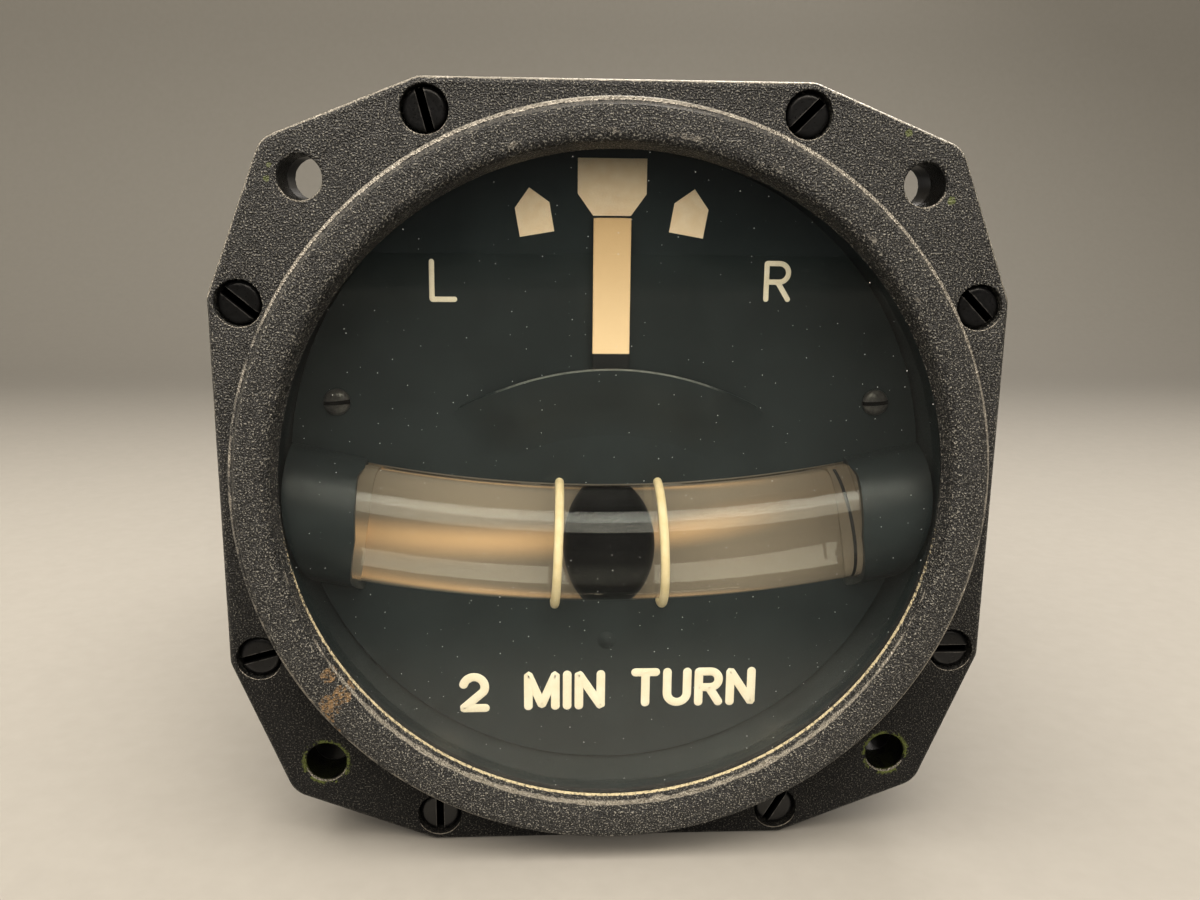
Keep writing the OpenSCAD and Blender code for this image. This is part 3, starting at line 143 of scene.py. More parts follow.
def crackleFinish(look):
    # pebbled black paint; pale peaks (rubbed paint and painted sparkle), stains, dark hole walls (painted
    # shade), dust by the glass and bare metal are tones laid over one another, each through its own mask;
    # painted shade makes the lower flange blacker and duller
    material, add = newMaterial("crackleEnamelOnCastAluminium")
    place = add("TexCoord")["Object"]
    axes = add("SeparateXYZ", {"Vector": place})
    flat = add("CombineXYZ", {0: axes[0], 2: axes[2]})[0]
    patches = add("TexNoise", {"Scale": 1 / (look["patch"] * mm), "Detail": 3.0, "Vector": place})[0]
    grains = add("TexNoise", {"Scale": 1 / (look["grain"] * mm), "Detail": 1.5, "Roughness": 0.6,
                              "Vector": place})[0]
    fine = add("TexNoise", {"Scale": 1 / (look["dustGrain"] * mm), "Detail": 4.0, "Vector": place})[0]
    rub = add("TexNoise", {"Scale": 1 / (look["rub"] * mm), "Detail": 5.0, "Roughness": 0.7,
                           "Vector": place})[0]
    # painted shade: the lower flange lies in the ring's shadow, so its paint is painted blacker and duller
    # there, with fewer pale peaks and less sheen
    flangeShadePainted = add("MapRange", {"From": np.multiply(look["flangeShadeZ"], mm), "To Max": look["flangeShadeDepth"],
                                 "Value": axes[2]})[0]
    onFlange = add("Math", {"operation": "GREATER_THAN", 0: axes[1], 1: look["flangeY"] * mm})[0]
    unshadedShare = add("Math", {"operation": "MULTIPLY_ADD", 0: onFlange, 1: flangeShadePainted, 2: 1.0})[0]
    # the pale peaks are partly rubbed paint and partly painted sparkle
    peakRubAndSparkle = add("MapRange", {"From": look["peakAt"], "To Max": 0.9, "Value": grains})[0]
    layers = [(look["peak"], add("Math", {"operation": "MULTIPLY", 0: peakRubAndSparkle, 1: unshadedShare})[0])]
    # the four mount holes fold into one on absolute places; verdigris rings the lower two
    folded = add("VectorMath", {"operation": "ABSOLUTE", 0: flat})[0]
    hole = (look["hole"] * mm, 0, look["hole"] * mm)
    fromHole = add("VectorMath", {"operation": "DISTANCE", 0: folded, 1: hole})["Value"]
    ringed = add("MapRange", {"From": (look["stainR"] * mm, look["holeR"] * mm), "Value": fromHole})[0]
    below = add("Math", {"operation": "LESS_THAN", 0: axes[2], 1: 0.0})[0]
    broken = add("MapRange", {"From": look["stainAt"], "Value": rub})[0]
    for mask in (below, broken):
        ringed = add("Math", {"operation": "MULTIPLY", 0: ringed, 1: mask})[0]
    for stain, near in (("green", ringed), ("chip", None)):
        for x, z, reach in look[stain + "Spots"]:
            away = add("VectorMath", {"operation": "DISTANCE", 0: flat, 1: (x * mm, 0, z * mm)})["Value"]
            here = add("MapRange", {"From": (reach * mm, reach * 0.55 * mm), "Value": away})[0]
            near = here if near is None else add("Math", {"operation": "MAXIMUM", 0: near, 1: here})[0]
        both = add("Math", {"operation": "ADD", 0: near, 1: fine})[0]
        spread = add("MapRange", {"From": look[stain + "At"], "To Max": 0.85, "Value": both})[0]
        layers.append((look[stain], spread))
    # painted shade: the holes' walls are painted near black and dull, darker deeper in
    within = add("Math", {"operation": "LESS_THAN", 0: fromHole, 1: look["holeR"] * mm})[0]
    deep = add("MapRange", {"From": np.multiply(look["holeY"], mm), "To Max": 0.95, "Value": axes[1]})[0]
    paintedHoleShade = add("Math", {"operation": "MULTIPLY", 0: within, 1: deep})[0]
    layers.append((look["holeShadeTone"], paintedHoleShade))
    # dust lies inside dustR, behind the lip and mostly low down
    out = add("VectorMath", {"operation": "LENGTH", 0: flat})["Value"]
    lying = add("Math", {"operation": "LESS_THAN", 0: out, 1: look["dustR"] * mm})[0]
    for axis, (start, end), least in ((1, look["dustY"], 0.0), (2, look["dustZ"], 0.2)):
        along = add("MapRange", {"From": (start * mm, end * mm), "To Min": least, "Value": axes[axis]})[0]
        lying = add("Math", {"operation": "MULTIPLY", 0: lying, 1: along})[0]
    both = add("Math", {"operation": "ADD", 0: lying, 1: fine})[0]
    dusty = add("MapRange", {"From": look["dustAt"], "To Max": 0.9, "Value": both})[0]
    layers.append((look["dust"], dusty))
    edge = add("Attribute", {"attribute_name": "wear"})["Fac"]
    both = add("Math", {"operation": "ADD", 0: edge, 1: rub})[0]
    bare = add("MapRange", {"From": look["metalAt"], "Value": both})[0]
    layers.append((look["metal"], bare))
    black, charcoal = look["tones"]
    colour = add("Mix", {"data_type": "RGBA", 0: patches, 6: toLinear(black), 7: toLinear(charcoal)})[2]
    for tone, mask in layers:
        colour = add("Mix", {"data_type": "RGBA", 0: mask, 6: colour, 7: toLinear(tone)})[2]
    gloss = add("MapRange", {"From": (0.3, 0.7), "To": look["rough"], "Value": grains})[0]
    gloss = add("Mix", {"data_type": "FLOAT", 0: bare, 2: gloss, 3: look["metalRough"]})[0]
    relief = add("Bump", {"Strength": 1.0, "Distance": look["depth"] * mm, "Height": grains})[0]
    # painted shade: the sheen falls away in the holes and on the lower flange
    sheen = add("MapRange", {"To": (0.5, 0.0), "Value": paintedHoleShade})[0]
    sheen = add("Math", {"operation": "MULTIPLY", 0: sheen, 1: unshadedShare})[0]
    skin = add("BsdfPrincipled", {"Base Color": colour, "Roughness": gloss, "Metallic": bare,
                                  "Normal": relief, "Specular IOR Level": sheen})
    add("OutputMaterial", {"Surface": skin[0]})
    return material


# a zone of the paper is (tone, start, end) along Y
paper = {"near": "#8a8781", "fibre": 2.5,
         "zones": (("#292826", -14.0, -75.0), ("#6b6965", -500.0, -1550.0), ("#5b5954", 90.0, 360.0))}


def paperFinish(look):
    # pale round the object; dark in front, so that the glass mirrors little, but as light as the air at the
    # far front edge, so that the glass shows no line there; dim on the wall
    material, add = newMaterial("gradedStudioPaper")
    place = add("TexCoord")["Object"]
    depth = add("SeparateXYZ", {"Vector": place})[1]
    fibre = add("TexNoise", {"Scale": 1 / (look["fibre"] * mm), "Detail": 4.0, "Vector": place})[0]
    mottle = add("MapRange", {"To": (0.94, 1.06), "Value": fibre})[0]
    colour = toLinear(look["near"])
    for tone, start, end in look["zones"]:
        fade = add("MapRange", {"interpolation_type": "SMOOTHSTEP", "From": (start * mm, end * mm),
                                "Value": depth})[0]
        colour = add("Mix", {"data_type": "RGBA", 0: fade, 6: colour, 7: toLinear(tone)})[2]
    colour = add("VectorMath", {"operation": "SCALE", 0: colour, "Scale": mottle})[0]
    skin = add("BsdfPrincipled", {"Roughness": 0.85, "Base Color": colour})
    add("OutputMaterial", {"Surface": skin[0]})
    return material


# the warm stripe is painted light, a band of light along the tube: an arc of radius r about bend (x, z)
# that dies away over right; upper is a lighter tone painted above it, also painted light, and upperAt the
# span over which that comes in
backing = {"tones": ("#8b8173", "#938879"), "cloud": 4.0, "paintedLightBand": "#eec79a", "bend": (-3.3, 139.3),
           "r": 149.98, "half": 0.9, "right": (22.0, 9.0), "upper": "#a89c8b", "upperAt": (-0.6, -1.3)}


def backingFinish(look):
    # cream, with painted light: a warm band of light along the tube and a lighter tone above it; the tube
    # shows only a strip about 2 mm high, magnified
    material, add = newMaterial("creamBackingWithPaintedLight")
    place = add("TexCoord")["Object"]
    axes = add("SeparateXYZ", {"Vector": place})
    flat = add("CombineXYZ", {0: axes[0], 2: axes[2]})[0]
    x, z = look["bend"]
    away = add("VectorMath", {"operation": "DISTANCE", 0: flat, 1: (x * mm, 0, z * mm)})["Value"]
    off = add("Math", {"operation": "SUBTRACT", 0: away, 1: look["r"] * mm})[0]
    above = add("MapRange", {"From": np.multiply(look["upperAt"], mm), "Value": off})[0]
    off = add("Math", {"operation": "ABSOLUTE", 0: off})[0]
    # painted light: a band of light along the tube, weaker to the right
    stripe = add("MapRange", {"interpolation_type": "SMOOTHSTEP", "From": (look["half"] * mm, 0.0),
                              "Value": off})[0]
    side = add("MapRange", {"From": np.multiply(look["right"], mm), "To Min": 0.1, "Value": axes[0]})[0]
    paintedLightBand = add("Math", {"operation": "MULTIPLY", 0: stripe, 1: side})[0]
    cloud = add("TexNoise", {"Scale": 1 / (look["cloud"] * mm), "Detail": 3.0, "Vector": place})[0]
    grey, cream = look["tones"]
    colour = add("Mix", {"data_type": "RGBA", 0: cloud, 6: toLinear(grey), 7: toLinear(cream)})[2]
    for tone, mask in ((look["upper"], above), (look["paintedLightBand"], paintedLightBand)):
        colour = add("Mix", {"data_type": "RGBA", 0: mask, 6: colour, 7: toLinear(tone)})[2]
    skin = add("BsdfPrincipled", {"Roughness": 0.6, "Base Color": colour})
    add("OutputMaterial", {"Surface": skin[0]})
    return material


# crackle enamel over cast aluminium: a dull charcoal pebble that sparkles, partly by painted sparkle on its
# pale peaks, rubbed bright on its edges; painted shade darkens its hole walls and lower flange
crackleEnamel = crackleFinish(enamel)
# stoved satin enamel over spun aluminium: smooth, dark, with a faint orange peel
caseEnamel = solidFinish("satinEnamelOnAluminium", ("#1b1b1c", "#232324"), 9.0, 0.9, 0.02, (0.32, 0.42),
                         worn={"patch": 3.0, "from": 1.3, "to": 1.45, "tone": "#a8a6a0", "rough": 0.35})
# black oxide on turned steel: near black with a low sheen, grey where a driver has rubbed it
blackOxide = solidFinish("blackOxideSteel", ("#070707", "#0d0d0e"), 1.2, 0.25, 0.01, (0.26, 0.42), 0.4,
                         worn={"patch": 0.6, "from": 1.25, "to": 1.6, "tone": "#6a6864", "rough": 0.35})
# bright zinc plate: a cool silver with small cloudy changes
zincPlate = solidFinish("brightZincPlate", ("#a9abad", "#c2c3c2"), 1.5, 0.3, 0.01, (0.25, 0.4), 1.0)
# ground steel: fine rings from the wheel, drawn coarser than the 0.05 mm real ones so that they show
groundSteel = solidFinish("groundSteel", ("#9b9b9c", "#b6b6b5"), 3.0, 0.3, 0.012, (0.2, 0.32), 1.0,
                          (1, 0.2, 1))
# moulded nitrile rubber: dull black that scatters light
nitrile = solidFinish("mouldedNitrileRubber", ("#161616", "#1d1d1d"), 2.5, 0.4, 0.02, (0.7, 0.85))
# matt dial enamel: blue black with a soft sheen, chalky grey where an edge is rubbed
dialEnamel = solidFinish("mattDialEnamel", ("#151c1d", "#1c2324"), 6.0, 0.22, 0.008, (0.4, 0.52),
                         worn={"patch": 1.2, "from": 1.0, "to": 1.7, "tone": "#8a8c86", "rough": 0.42})
# aged luminous paint for the marks: tan cream, slightly rough and uneven
markPaint = solidFinish("agedLuminousPaint", ("#f3d8b2", "#f8e1c0"), 1.2, 0.25, 0.03, (0.6, 0.75))
# brushed-on legend enamel: pale cream with a low gloss
legendEnamel = solidFinish("creamLegendEnamel", ("#f0e3c6", "#f6ebd3"), 1.5, 0.3, 0.02, (0.5, 0.6))
# ivory enamel on wire: warm and glossy
ivoryEnamel = solidFinish("ivoryEnamelOnWire", ("#e0cc9c", "#ead8ae"), 1.4, 0.3, 0.01, (0.3, 0.42))
# gloss black ball under the liquid, whose index is near the paint's, so that it mirrors little
ballGloss = solidFinish("glossBlackBallInLiquid", ("#050506", "#0a0a0b"), 3.0, 0.5, 0.002, (0.3, 0.4),
                        mirror=0.02)
# turned brass: yellow metal with fine tool rings
turnedBrass = solidFinish("turnedBrass", ("#b08d45", "#c6a35a"), 3.0, 0.4, 0.015, (0.22, 0.36), 1.0,
                          (1, 0.25, 1))
# sintered bronze: brown metal with open pores
sinteredBronze = solidFinish("sinteredBronze", ("#8a5f36", "#a0744a"), 1.5, 0.25, 0.03, (0.35, 0.5), 1.0)
# drawn copper segments: red metal, darkened in the tracks
drawnCopper = solidFinish("drawnCopper", ("#a8613f", "#bd7a55"), 1.8, 0.3, 0.012, (0.25, 0.4), 1.0,
                          (1, 0.3, 1))
# machined aluminium: pale grey with cutter lines about 0.2 mm apart
machinedAluminium = solidFinish("machinedAluminium", ("#a4a6a8", "#b9bbbc"), 3.5, 0.35, 0.012, (0.28, 0.42),
                                1.0, (1, 1, 0.2))
# varnished electrical iron: dark blue grey laminations
varnishedIron = solidFinish("varnishedIron", ("#46484c", "#5a5c60"), 2.0, 0.35, 0.02, (0.35, 0.5), 0.7,
                            (0.25, 1, 1))
# paper phenolic board: brown with fine fibres
paperPhenolic = solidFinish("paperPhenolic", ("#4a2c1b", "#5c3923"), 2.2, 0.3, 0.015, (0.4, 0.55), 0.0,
                            (0.3, 1, 1))
# pressed carbon: dull grey black that rubs off
pressedCarbon = solidFinish("pressedCarbon", ("#242424", "#303030"), 1.2, 0.22, 0.02, (0.6, 0.75))
# olive passivated alloy: drab green gold with a metallic sheen
olivePassivate = solidFinish("olivePassivatedAlloy", ("#4f4c31", "#63603f"), 2.5, 0.3, 0.012,
                             (0.35, 0.48), 0.8,
                             worn={"patch": 1.5, "from": 1.2, "to": 1.4, "tone": "#a5a294", "rough": 0.35})
# moulded insert: dark hard plastic with a slight sheen
mouldedInsert = solidFinish("mouldedDiallylInsert", ("#141a16", "#1b221d"), 2.0, 0.3, 0.01, (0.35, 0.45))
# wax-dipped cotton lead covering: soft white gone yellow
leadCotton = solidFinish("waxedCottonSleeve", ("#cbbf9c", "#d8cdab"), 2.0, 0.35, 0.03, (0.6, 0.75))
# flat float glass: faint green with dust lying on it
coverGlass = clearFinish("floatGlass", "#f6faf7", 1.52,
                         {"gap": 1.5, "size": 0.05, "rare": 0.6, "through": 0.3, "front": -2.4})
# glass tube full of damping liquid: one clear body that bends light like a lens
tubeGlass = clearFinish("liquidFilledGlassTube", "#f6f4ee", 1.47,
                        {"gap": 3.1, "size": 0.06, "rare": 0.7, "through": 0.4, "front": 6.0})
# sprayed cream enamel behind the tube: matt and pale, with a painted band of light
creamBacking = backingFinish(backing)
# background paper: matt, pale and faintly mottled
studioPaper = paperFinish(paper)
print("finishes made:", len(bpy.data.materials))


def gridFaces(rows, cols, wrapRows=False, wrapCols=False):
    # quads between neighbouring rows and columns; a wrapped side joins its last line to its first
    lastRow, lastCol = rows if wrapRows else rows - 1, cols if wrapCols else cols - 1
    i, j = np.meshgrid(np.arange(lastRow), np.arange(lastCol), indexing="ij")
    k, m = (i + 1) % rows, (j + 1) % cols
    return np.stack([i * cols + j, k * cols + j, k * cols + m, i * cols + m], -1).reshape(-1, 4)


def gridShell(grid, wrapRows=False, wrapCols=False, wear=0.0):
    # a grid of points as points, quads and one wear value per quad corner
    rows, cols = grid.shape[:2]
    faces = gridFaces(rows, cols, wrapRows, wrapCols)
    worn = np.broadcast_to(np.asarray(wear, float), (rows, cols)).reshape(-1)
    return grid.reshape(-1, 3), faces, worn[faces]


def bearing(turn):
    # directions in the face plane, by angles clockwise from the top
    return np.stack([np.sin(turn), np.cos(turn)], -1)


def circleLoop(radius, centre=(0, 0), steps=40):
    # points on a circle in the face plane and their directions out of the circle
    out = bearing(np.arange(steps) / steps * 2 * np.pi)
    return np.asarray(centre) + radius * out, out


def carryRound(loop, out, profile, wear=0.0, closed=False):
    # a profile of (offset along the outward direction, depth) carried round a closed loop
    profile = np.asarray(profile, float)
    p = loop[:, None, :] + out[:, None, :] * profile[None, :, :1]
    y = np.broadcast_to(profile[None, :, 1], p.shape[:2])
    return gridShell(np.stack([p[..., 0], y, p[..., 1]], -1), wrapRows=True, wrapCols=closed, wear=wear)


def turned(profile, centre=(0, 0), steps=96, closed=False, wear=0.0):
    # radius and depth pairs turned about an axis along Y
    return carryRound(*circleLoop(0, centre, steps), profile, wear, closed)


def fillFlat(loops, depth, onFace):
    # triangles between closed loops on one depth, kept where a triangle's middle lies on the face
    points = np.vstack(loops)
    edges, base = [], 0
    for loop in loops:
        k = base + np.arange(len(loop))
        edges += np.stack([k, np.roll(k, -1)], -1).tolist()
        base += len(loop)
    verts, _, tris, *_ = delaunay_2d_cdt([Vector(p) for p in points], edges, [], 0, 1e-7)
    flat, tris = np.array([tuple(v) for v in verts]), np.array([t for t in tris if len(t) == 3])
    tris = tris[onFace(flat[tris].mean(1))]
    return np.stack([flat[:, 0], np.full(len(flat), depth), flat[:, 1]], -1), tris, np.zeros(tris.shape)


def quarter(steps):
    # even angles from nought to a right angle
    return np.linspace(0, np.pi / 2, steps)


def roundOver(radius, steps=6):
    # quarter round from a face (offset -radius, depth 0) to a wall (offset 0, depth radius)
    a = quarter(steps)
    return np.stack([radius * (np.sin(a) - 1), radius * (1 - np.cos(a))], -1)


def roundBack(radius, depth, steps=6):
    # the same quarter round from the wall to a rear face at that depth
    p = roundOver(radius, steps)[::-1]
    return np.stack([p[:, 0], depth - p[:, 1]], -1)


def sweep(path, flat, wide, high, sides=16, power=2.0, wear=0.0):
    # a superellipse carried along a path: path + across*wide*cos + flat*high*sin, each of cos and sin raised
    # to 2/power; flat is square to the path
    tangent = np.gradient(path, axis=0)
    tangent /= np.linalg.norm(tangent, axis=1)[:, None]
    flat = np.broadcast_to(np.asarray(flat, float), path.shape)
    across = np.cross(tangent, flat)
    across /= np.linalg.norm(across, axis=1)[:, None]
    a = np.arange(sides) / sides * 2 * np.pi
    c, s = (np.sign(v) * np.abs(v) ** (2 / power) for v in (np.cos(a), np.sin(a)))
    sideways = across[:, None, :] * (wide[:, None] * c)[..., None]
    upwards = flat[:, None, :] * (high[:, None] * s)[..., None]
    grid = path[:, None, :] + sideways + upwards
    return gridShell(grid, wrapCols=True, wear=wear)


def capped(path, wide, high, reach, steps=6):
    # rings beyond both ends that shrink as a quarter ellipse, so that a sweep closes to a point
    t = quarter(steps + 1)[1:]
    first, last = path[0] - path[1], path[-1] - path[-2]
    head = path[0] + first / np.linalg.norm(first) * (reach * np.sin(t))[::-1, None]
    tail = path[-1] + last / np.linalg.norm(last) * (reach * np.sin(t))[:, None]
    shrink = np.maximum(np.cos(t), 1e-4)
    scale = np.r_[shrink[::-1], np.ones(len(path)), shrink]
    return np.vstack([head, path, tail]), wide * scale, high * scale


def makePiece(name, shells, material, body, replaced, smoothTo=35, evenFaces=False):
    # joins shells into one closed mesh, merges their seams, turns the faces outwards and hands it to its body
    points, faces, worn, base = [], [], [], 0
    for p, f, w in shells:
        points.append(p)
        faces += (f + base).tolist()
        worn.append(w.ravel())
        base += len(p)
    mesh = bpy.data.meshes.new(name)
    mesh.from_pydata((np.vstack(points) * mm).tolist(), [], faces)
    wear = mesh.attributes.new("wear", "FLOAT", "CORNER")
    wear.data.foreach_set("value", np.concatenate(worn).astype(np.float32))
    work = bmesh.new()
    work.from_mesh(mesh)
    bmesh.ops.remove_doubles(work, verts=work.verts, dist=0.002 * mm)
    bmesh.ops.recalc_face_normals(work, faces=work.faces)
    work.to_mesh(mesh)
    work.free()
    mesh.shade_smooth()
    mesh.set_sharp_from_angle(angle=math.radians(smoothTo))
    mesh.materials.append(material)
    piece = bpy.data.objects.new(name, mesh)
    bpy.context.scene.collection.objects.link(piece)
    if evenFaces:
        even = piece.modifiers.new("evenFaces", "WEIGHTED_NORMAL")
        even.keep_sharp = True
    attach(piece, body)
    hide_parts(*replaced)
    return piece


flange = {"half": 41.25, "flat": 39.4, "slant": 21.5, "corner": 3.0, "knuckle": 2.0, "depth": 4.8,
          "edge": 0.6, "backEdge": 0.3, "mount": 31.4324, "mountR": 2.2, "mountEdge": 0.3,
          "mountBackEdge": 0.15, "screwR": 42.6, "screwAngle": 26.6, "sinkR": 2.4, "sinkDepth": 2.3,
          "sinkEdge": 0.14, "shankR": 1.3,
          # wear across the rim, from the front edge to the rear one
          "rimWear": (0, 0.2, 0.6, 0.95, 1, 0.8, 0.3, 0.2, 0.3, 0.4, 0.5, 0.5, 0.3, 0), "rimHold": 0.35}


def fourQuarters(points):
    # a quarter of a loop and its three turns, clockwise from the top
    turnOnce = np.array([[0, -1], [1, 0]])
    return np.vstack([points @ np.linalg.matrix_power(turnOnce, q) for q in range(4)])


def flangeLoop(inset=0.0):
    # each quarter is three arcs, point = arc centre + radius x normal, with straight edges between them
    slant, upright = math.radians(flange["slant"]), math.pi / 2
    s, c = math.sin(slant), math.cos(slant)
    half = flange["half"] - inset
    reach = flange["flat"] / 2 * s + flange["half"] * c - inset  # of the slanted edge from the middle
    k, r = flange["knuckle"], flange["corner"]
    knee, middle = (reach - k - c * (half - k)) / s, (reach - r) / (s + c)
    points, facing = [], []
    for centre, radius, start, end in (((knee, half - k), k, 0, slant),
                                       ((middle, middle), r, slant, upright - slant),
                                       ((half - k, knee), k, upright - slant, upright)):
        normal = bearing(np.linspace(start, end, 9))
        points.append(np.asarray(centre) + radius * normal)
        facing.append(normal)
    return fourQuarters(np.vstack(points)), fourQuarters(np.vstack(facing))


def insideLoop(loop, out, points):
    # a convex loop holds a point that is behind every one of its edges
    return (points @ out.T - (loop * out).sum(1)).max(1) < 1e-6


screwTurns = np.radians([90 * (i // 2) + (-1) ** (i + 1) * flange["screwAngle"] for i in range(8)])
screwSpots = flange["screwR"] * bearing(screwTurns)
corners = np.array([(-1, 1), (1, 1), (1, -1), (-1, -1)])
mountSpots = flange["mount"] * corners


def flangePlate(loop, out, front, back, middleFront, middleBack, holes, edges):
    # front and rear faces with their holes, and the rounded rim; holes are (spot, front radius, rear radius)
    upper = 0.3 + 0.7 * np.clip((out[:, 1:] + 0.25) / 0.5, 0, 1)  # handled most along the top
    hold = flange["rimHold"]  # rows this far from the edges keep the wear near them
    side = [(0, front + edges[0] + hold), (0, back - edges[1] - hold)]
    profile = np.vstack([roundOver(edges[0]) + (0, front), side, roundBack(edges[1], back)])
    shells = [carryRound(loop, out, profile, upper * flange["rimWear"])]
    for depth, middle, which, inset in ((front, middleFront, 1, edges[0]), (back, middleBack, 2, edges[1])):
        rings = [circleLoop(h[which], h[0])[0] for h in holes]
        rim = loop - out * inset

        def onFace(p):
            keep = insideLoop(rim, out, p) & (np.hypot(p[:, 0], p[:, 1]) > middle - 0.01)
            for h in holes:
                keep &= np.hypot(*(p - h[0]).T) > h[which] * 0.99
            return keep
        shells.append(fillFlat([rim, circleLoop(middle, (0, 0), 256)[0]] + rings, depth, onFace))
    return shells


ring = {"r": 39.37, "foot": 0.35, "wallTo": -2.95, "shoulderR": 0.5, "slopeTo": (38.45, -4.55),
        "band": (38.15, 36.3), "face": -4.7, "lipTo": (34.96, -3.78), "nose": ((34.9, -3.68), (34.86, -3.56)),
        "ledgeTo": (34.45, -2.5), "pocketR": 37.5,
        # wear of the outer shoulder and of the lip, by degrees clockwise from the top
        "shoulderWear": ((-180, -140, -100, -70, -45, 0, 50, 95, 125, 140, 180),
                         (0.56, 0.68, 0.66, 0.7, 0.88, 1, 0.92, 0.74, 0.85, 0.6, 0.56)),
        "lipWear": ((0, 85, 115, 140, 180), (0.15, 0.3, 0.7, 1.0, 1.0)), "crestWear": 0.57}


def bezelShells():
    # the ring's profile turned about Y (foot, wall, shoulder, slope, band, lip, nose, ledge and the glass's
    # well), then the flange and the walls of its holes
    a = quarter(6)
    foot = (ring["r"], 0) - roundOver(ring["foot"])
    edge = (ring["r"], ring["wallTo"]) - ring["shoulderR"] * np.stack([1 - np.cos(a), np.sin(a)], -1)
    bandOut, bandIn = ring["band"]
    band = np.stack([np.linspace(bandOut, bandIn, 7), np.full(7, ring["face"])], -1)
    lipR, lipY = ring["lipTo"]
    lip = np.stack([bandIn - (bandIn - lipR) * np.sin(a), lipY + (ring["face"] - lipY) * np.cos(a)], -1)
    ledge = np.linspace(ring["nose"][1], ring["ledgeTo"], 5)[1:]
    well = [(ring["pocketR"], ring["ledgeTo"][1]), (ring["pocketR"], flange["depth"])]
    profile = np.vstack([foot, edge, ring["slopeTo"], band, lip[1:], ring["nose"], ledge, well])
    shoulder, rubbed = np.zeros(len(profile)), np.zeros(len(profile))
    shoulder[6:14] = 0.2, 0.6, 0.95, 1, 0.9, 0.5, 0.2, 0  # edge and slope
    shoulder[18:22] = ring["crestWear"] * np.array((0.6, 1, 1, 0.5))  # where the band turns into the lip
    rubbed[22:29] = 0.2, 0.6, 0.95, 1, 0.8, 0.55, 0.45  # lip, nose and the ledge's start
    turn = np.degrees(np.arctan2(*circleLoop(1, (0, 0), 256)[1].T))
    handled = np.interp(turn, *ring["shoulderWear"])[:, None]
    bright = np.interp(np.abs(turn), *ring["lipWear"])[:, None]
    shells = [turned(profile, steps=256, wear=handled * shoulder + bright * rubbed)]
    mountEdge, mountBack, sinkEdge = flange["mountEdge"], flange["mountBackEdge"], flange["sinkEdge"]
    holes = [(p, flange["mountR"] + mountEdge, flange["mountR"] + mountBack) for p in mountSpots]
    holes += [(p, flange["sinkR"] + sinkEdge, flange["shankR"]) for p in screwSpots]
    shells += flangePlate(*flangeLoop(), 0, flange["depth"], profile[0, 0], ring["pocketR"], holes,
                          (flange["edge"], flange["backEdge"]))
    wall = np.vstack([roundOver(mountEdge), roundBack(mountBack, flange["depth"])])
    wallWear = np.r_[0, 0.3, 0.8, 0.9, 0.8, 0.3, np.zeros(6)]
    for spot in mountSpots:
        hole, inward = circleLoop(flange["mountR"], spot)
        shells.append(carryRound(hole, -inward, wall, np.clip(0.4 - inward[:, 1:], 0.1, 1) * wallWear))
    step, floor = flange["sinkR"] - flange["shankR"], flange["sinkDepth"]
    sink = np.vstack([roundOver(sinkEdge), [(0, floor), (step, floor), (step, flange["depth"])]])
    sinkWear = np.r_[0.2, 0.6, 1, 1, 0.6, 0.2, 0, 0, 0]
    for spot in screwSpots:
        hole, inward = circleLoop(flange["sinkR"], spot)
        shells.append(carryRound(hole, -inward, sink, np.clip(0.2 - inward[:, 1:], 0, 0.9) * sinkWear))
    return shells


makePiece("bezel_casting", bezelShells(), crackleEnamel, "case", ["bezel"], evenFaces=True)
print("bezel made")


def slottedHeads(spots, screw, rub=0.15, facing=1):
    # head surface depth(x, y): flat top, a rim that falls as an ellipse (crown wide, drop deep) and a
    # straight slot (width, depth); rows run along the slot, so its walls stand on doubled rows; facing -1
    # turns the heads to the rear
    radius, crown, (slotWide, slotDeep) = screw["r"], screw["crown"], screw["slot"]
    shankR, shankTo = screw["shank"]
    front, back, end = (facing * depth for depth in (screw["front"], screw["back"], shankTo))
    half = slotWide / 2
    clearRow = 0.1  # no other row stands so near the slot, which keeps its wear to the edge
    rows = np.sort(np.r_[radius * np.cos(quarter(10)), radius - crown])
    side = rows[rows > half + clearRow]
    y = np.r_[-side[::-1], -half, -half, half, half, side]
    floorRow = np.zeros(len(y), bool)
    floorRow[len(side) + 1:len(side) + 3] = True
    s = np.sin(np.linspace(-np.pi / 2, np.pi / 2, 23))
    x = s[None, :] * np.sqrt(np.maximum(radius ** 2 - y ** 2, 0))[:, None]
    far = np.clip((np.hypot(x, y[:, None]) - (radius - crown)) / crown, 0, 1)
    depth = front + screw["drop"] * (1 - np.sqrt(1 - far ** 2))
    depth = np.where(floorRow[:, None], np.maximum(front + slotDeep, depth), depth)
    # the slot's floor takes wear -1: painted shade, black and dull; its edges are rubbed
    worn = np.where(floorRow, -1.0, np.where(np.abs(np.abs(y) - half) < 1e-6, 0.95, rub))[:, None]
    under = np.full(depth.shape, back)
    seat, tip = back + 0.02, 0.3  # the shank starts just behind the head and ends in a chamfer
    shank = [(0, seat), (shankR, seat), (shankR, end - tip), (shankR - tip, end), (0, end)]
    shells = []
    for spot, turn in zip(spots, np.radians(screw["turns"])):
        c, w = math.cos(turn), math.sin(turn)
        px, pz = spot[0] + x * c - y[:, None] * w, spot[1] + x * w + y[:, None] * c
        top, bottom = np.stack([px, depth, pz], -1), np.stack([px, under, pz], -1)
        walls = [gridShell(np.stack([top[:, k], bottom[:, k]], 1)) for k in (0, -1)]
        shells += [gridShell(top, wear=worn), gridShell(bottom), *walls, turned(shank, spot, 24)]
    return [(p * (1, facing, 1), f, w) for p, f, w in shells]


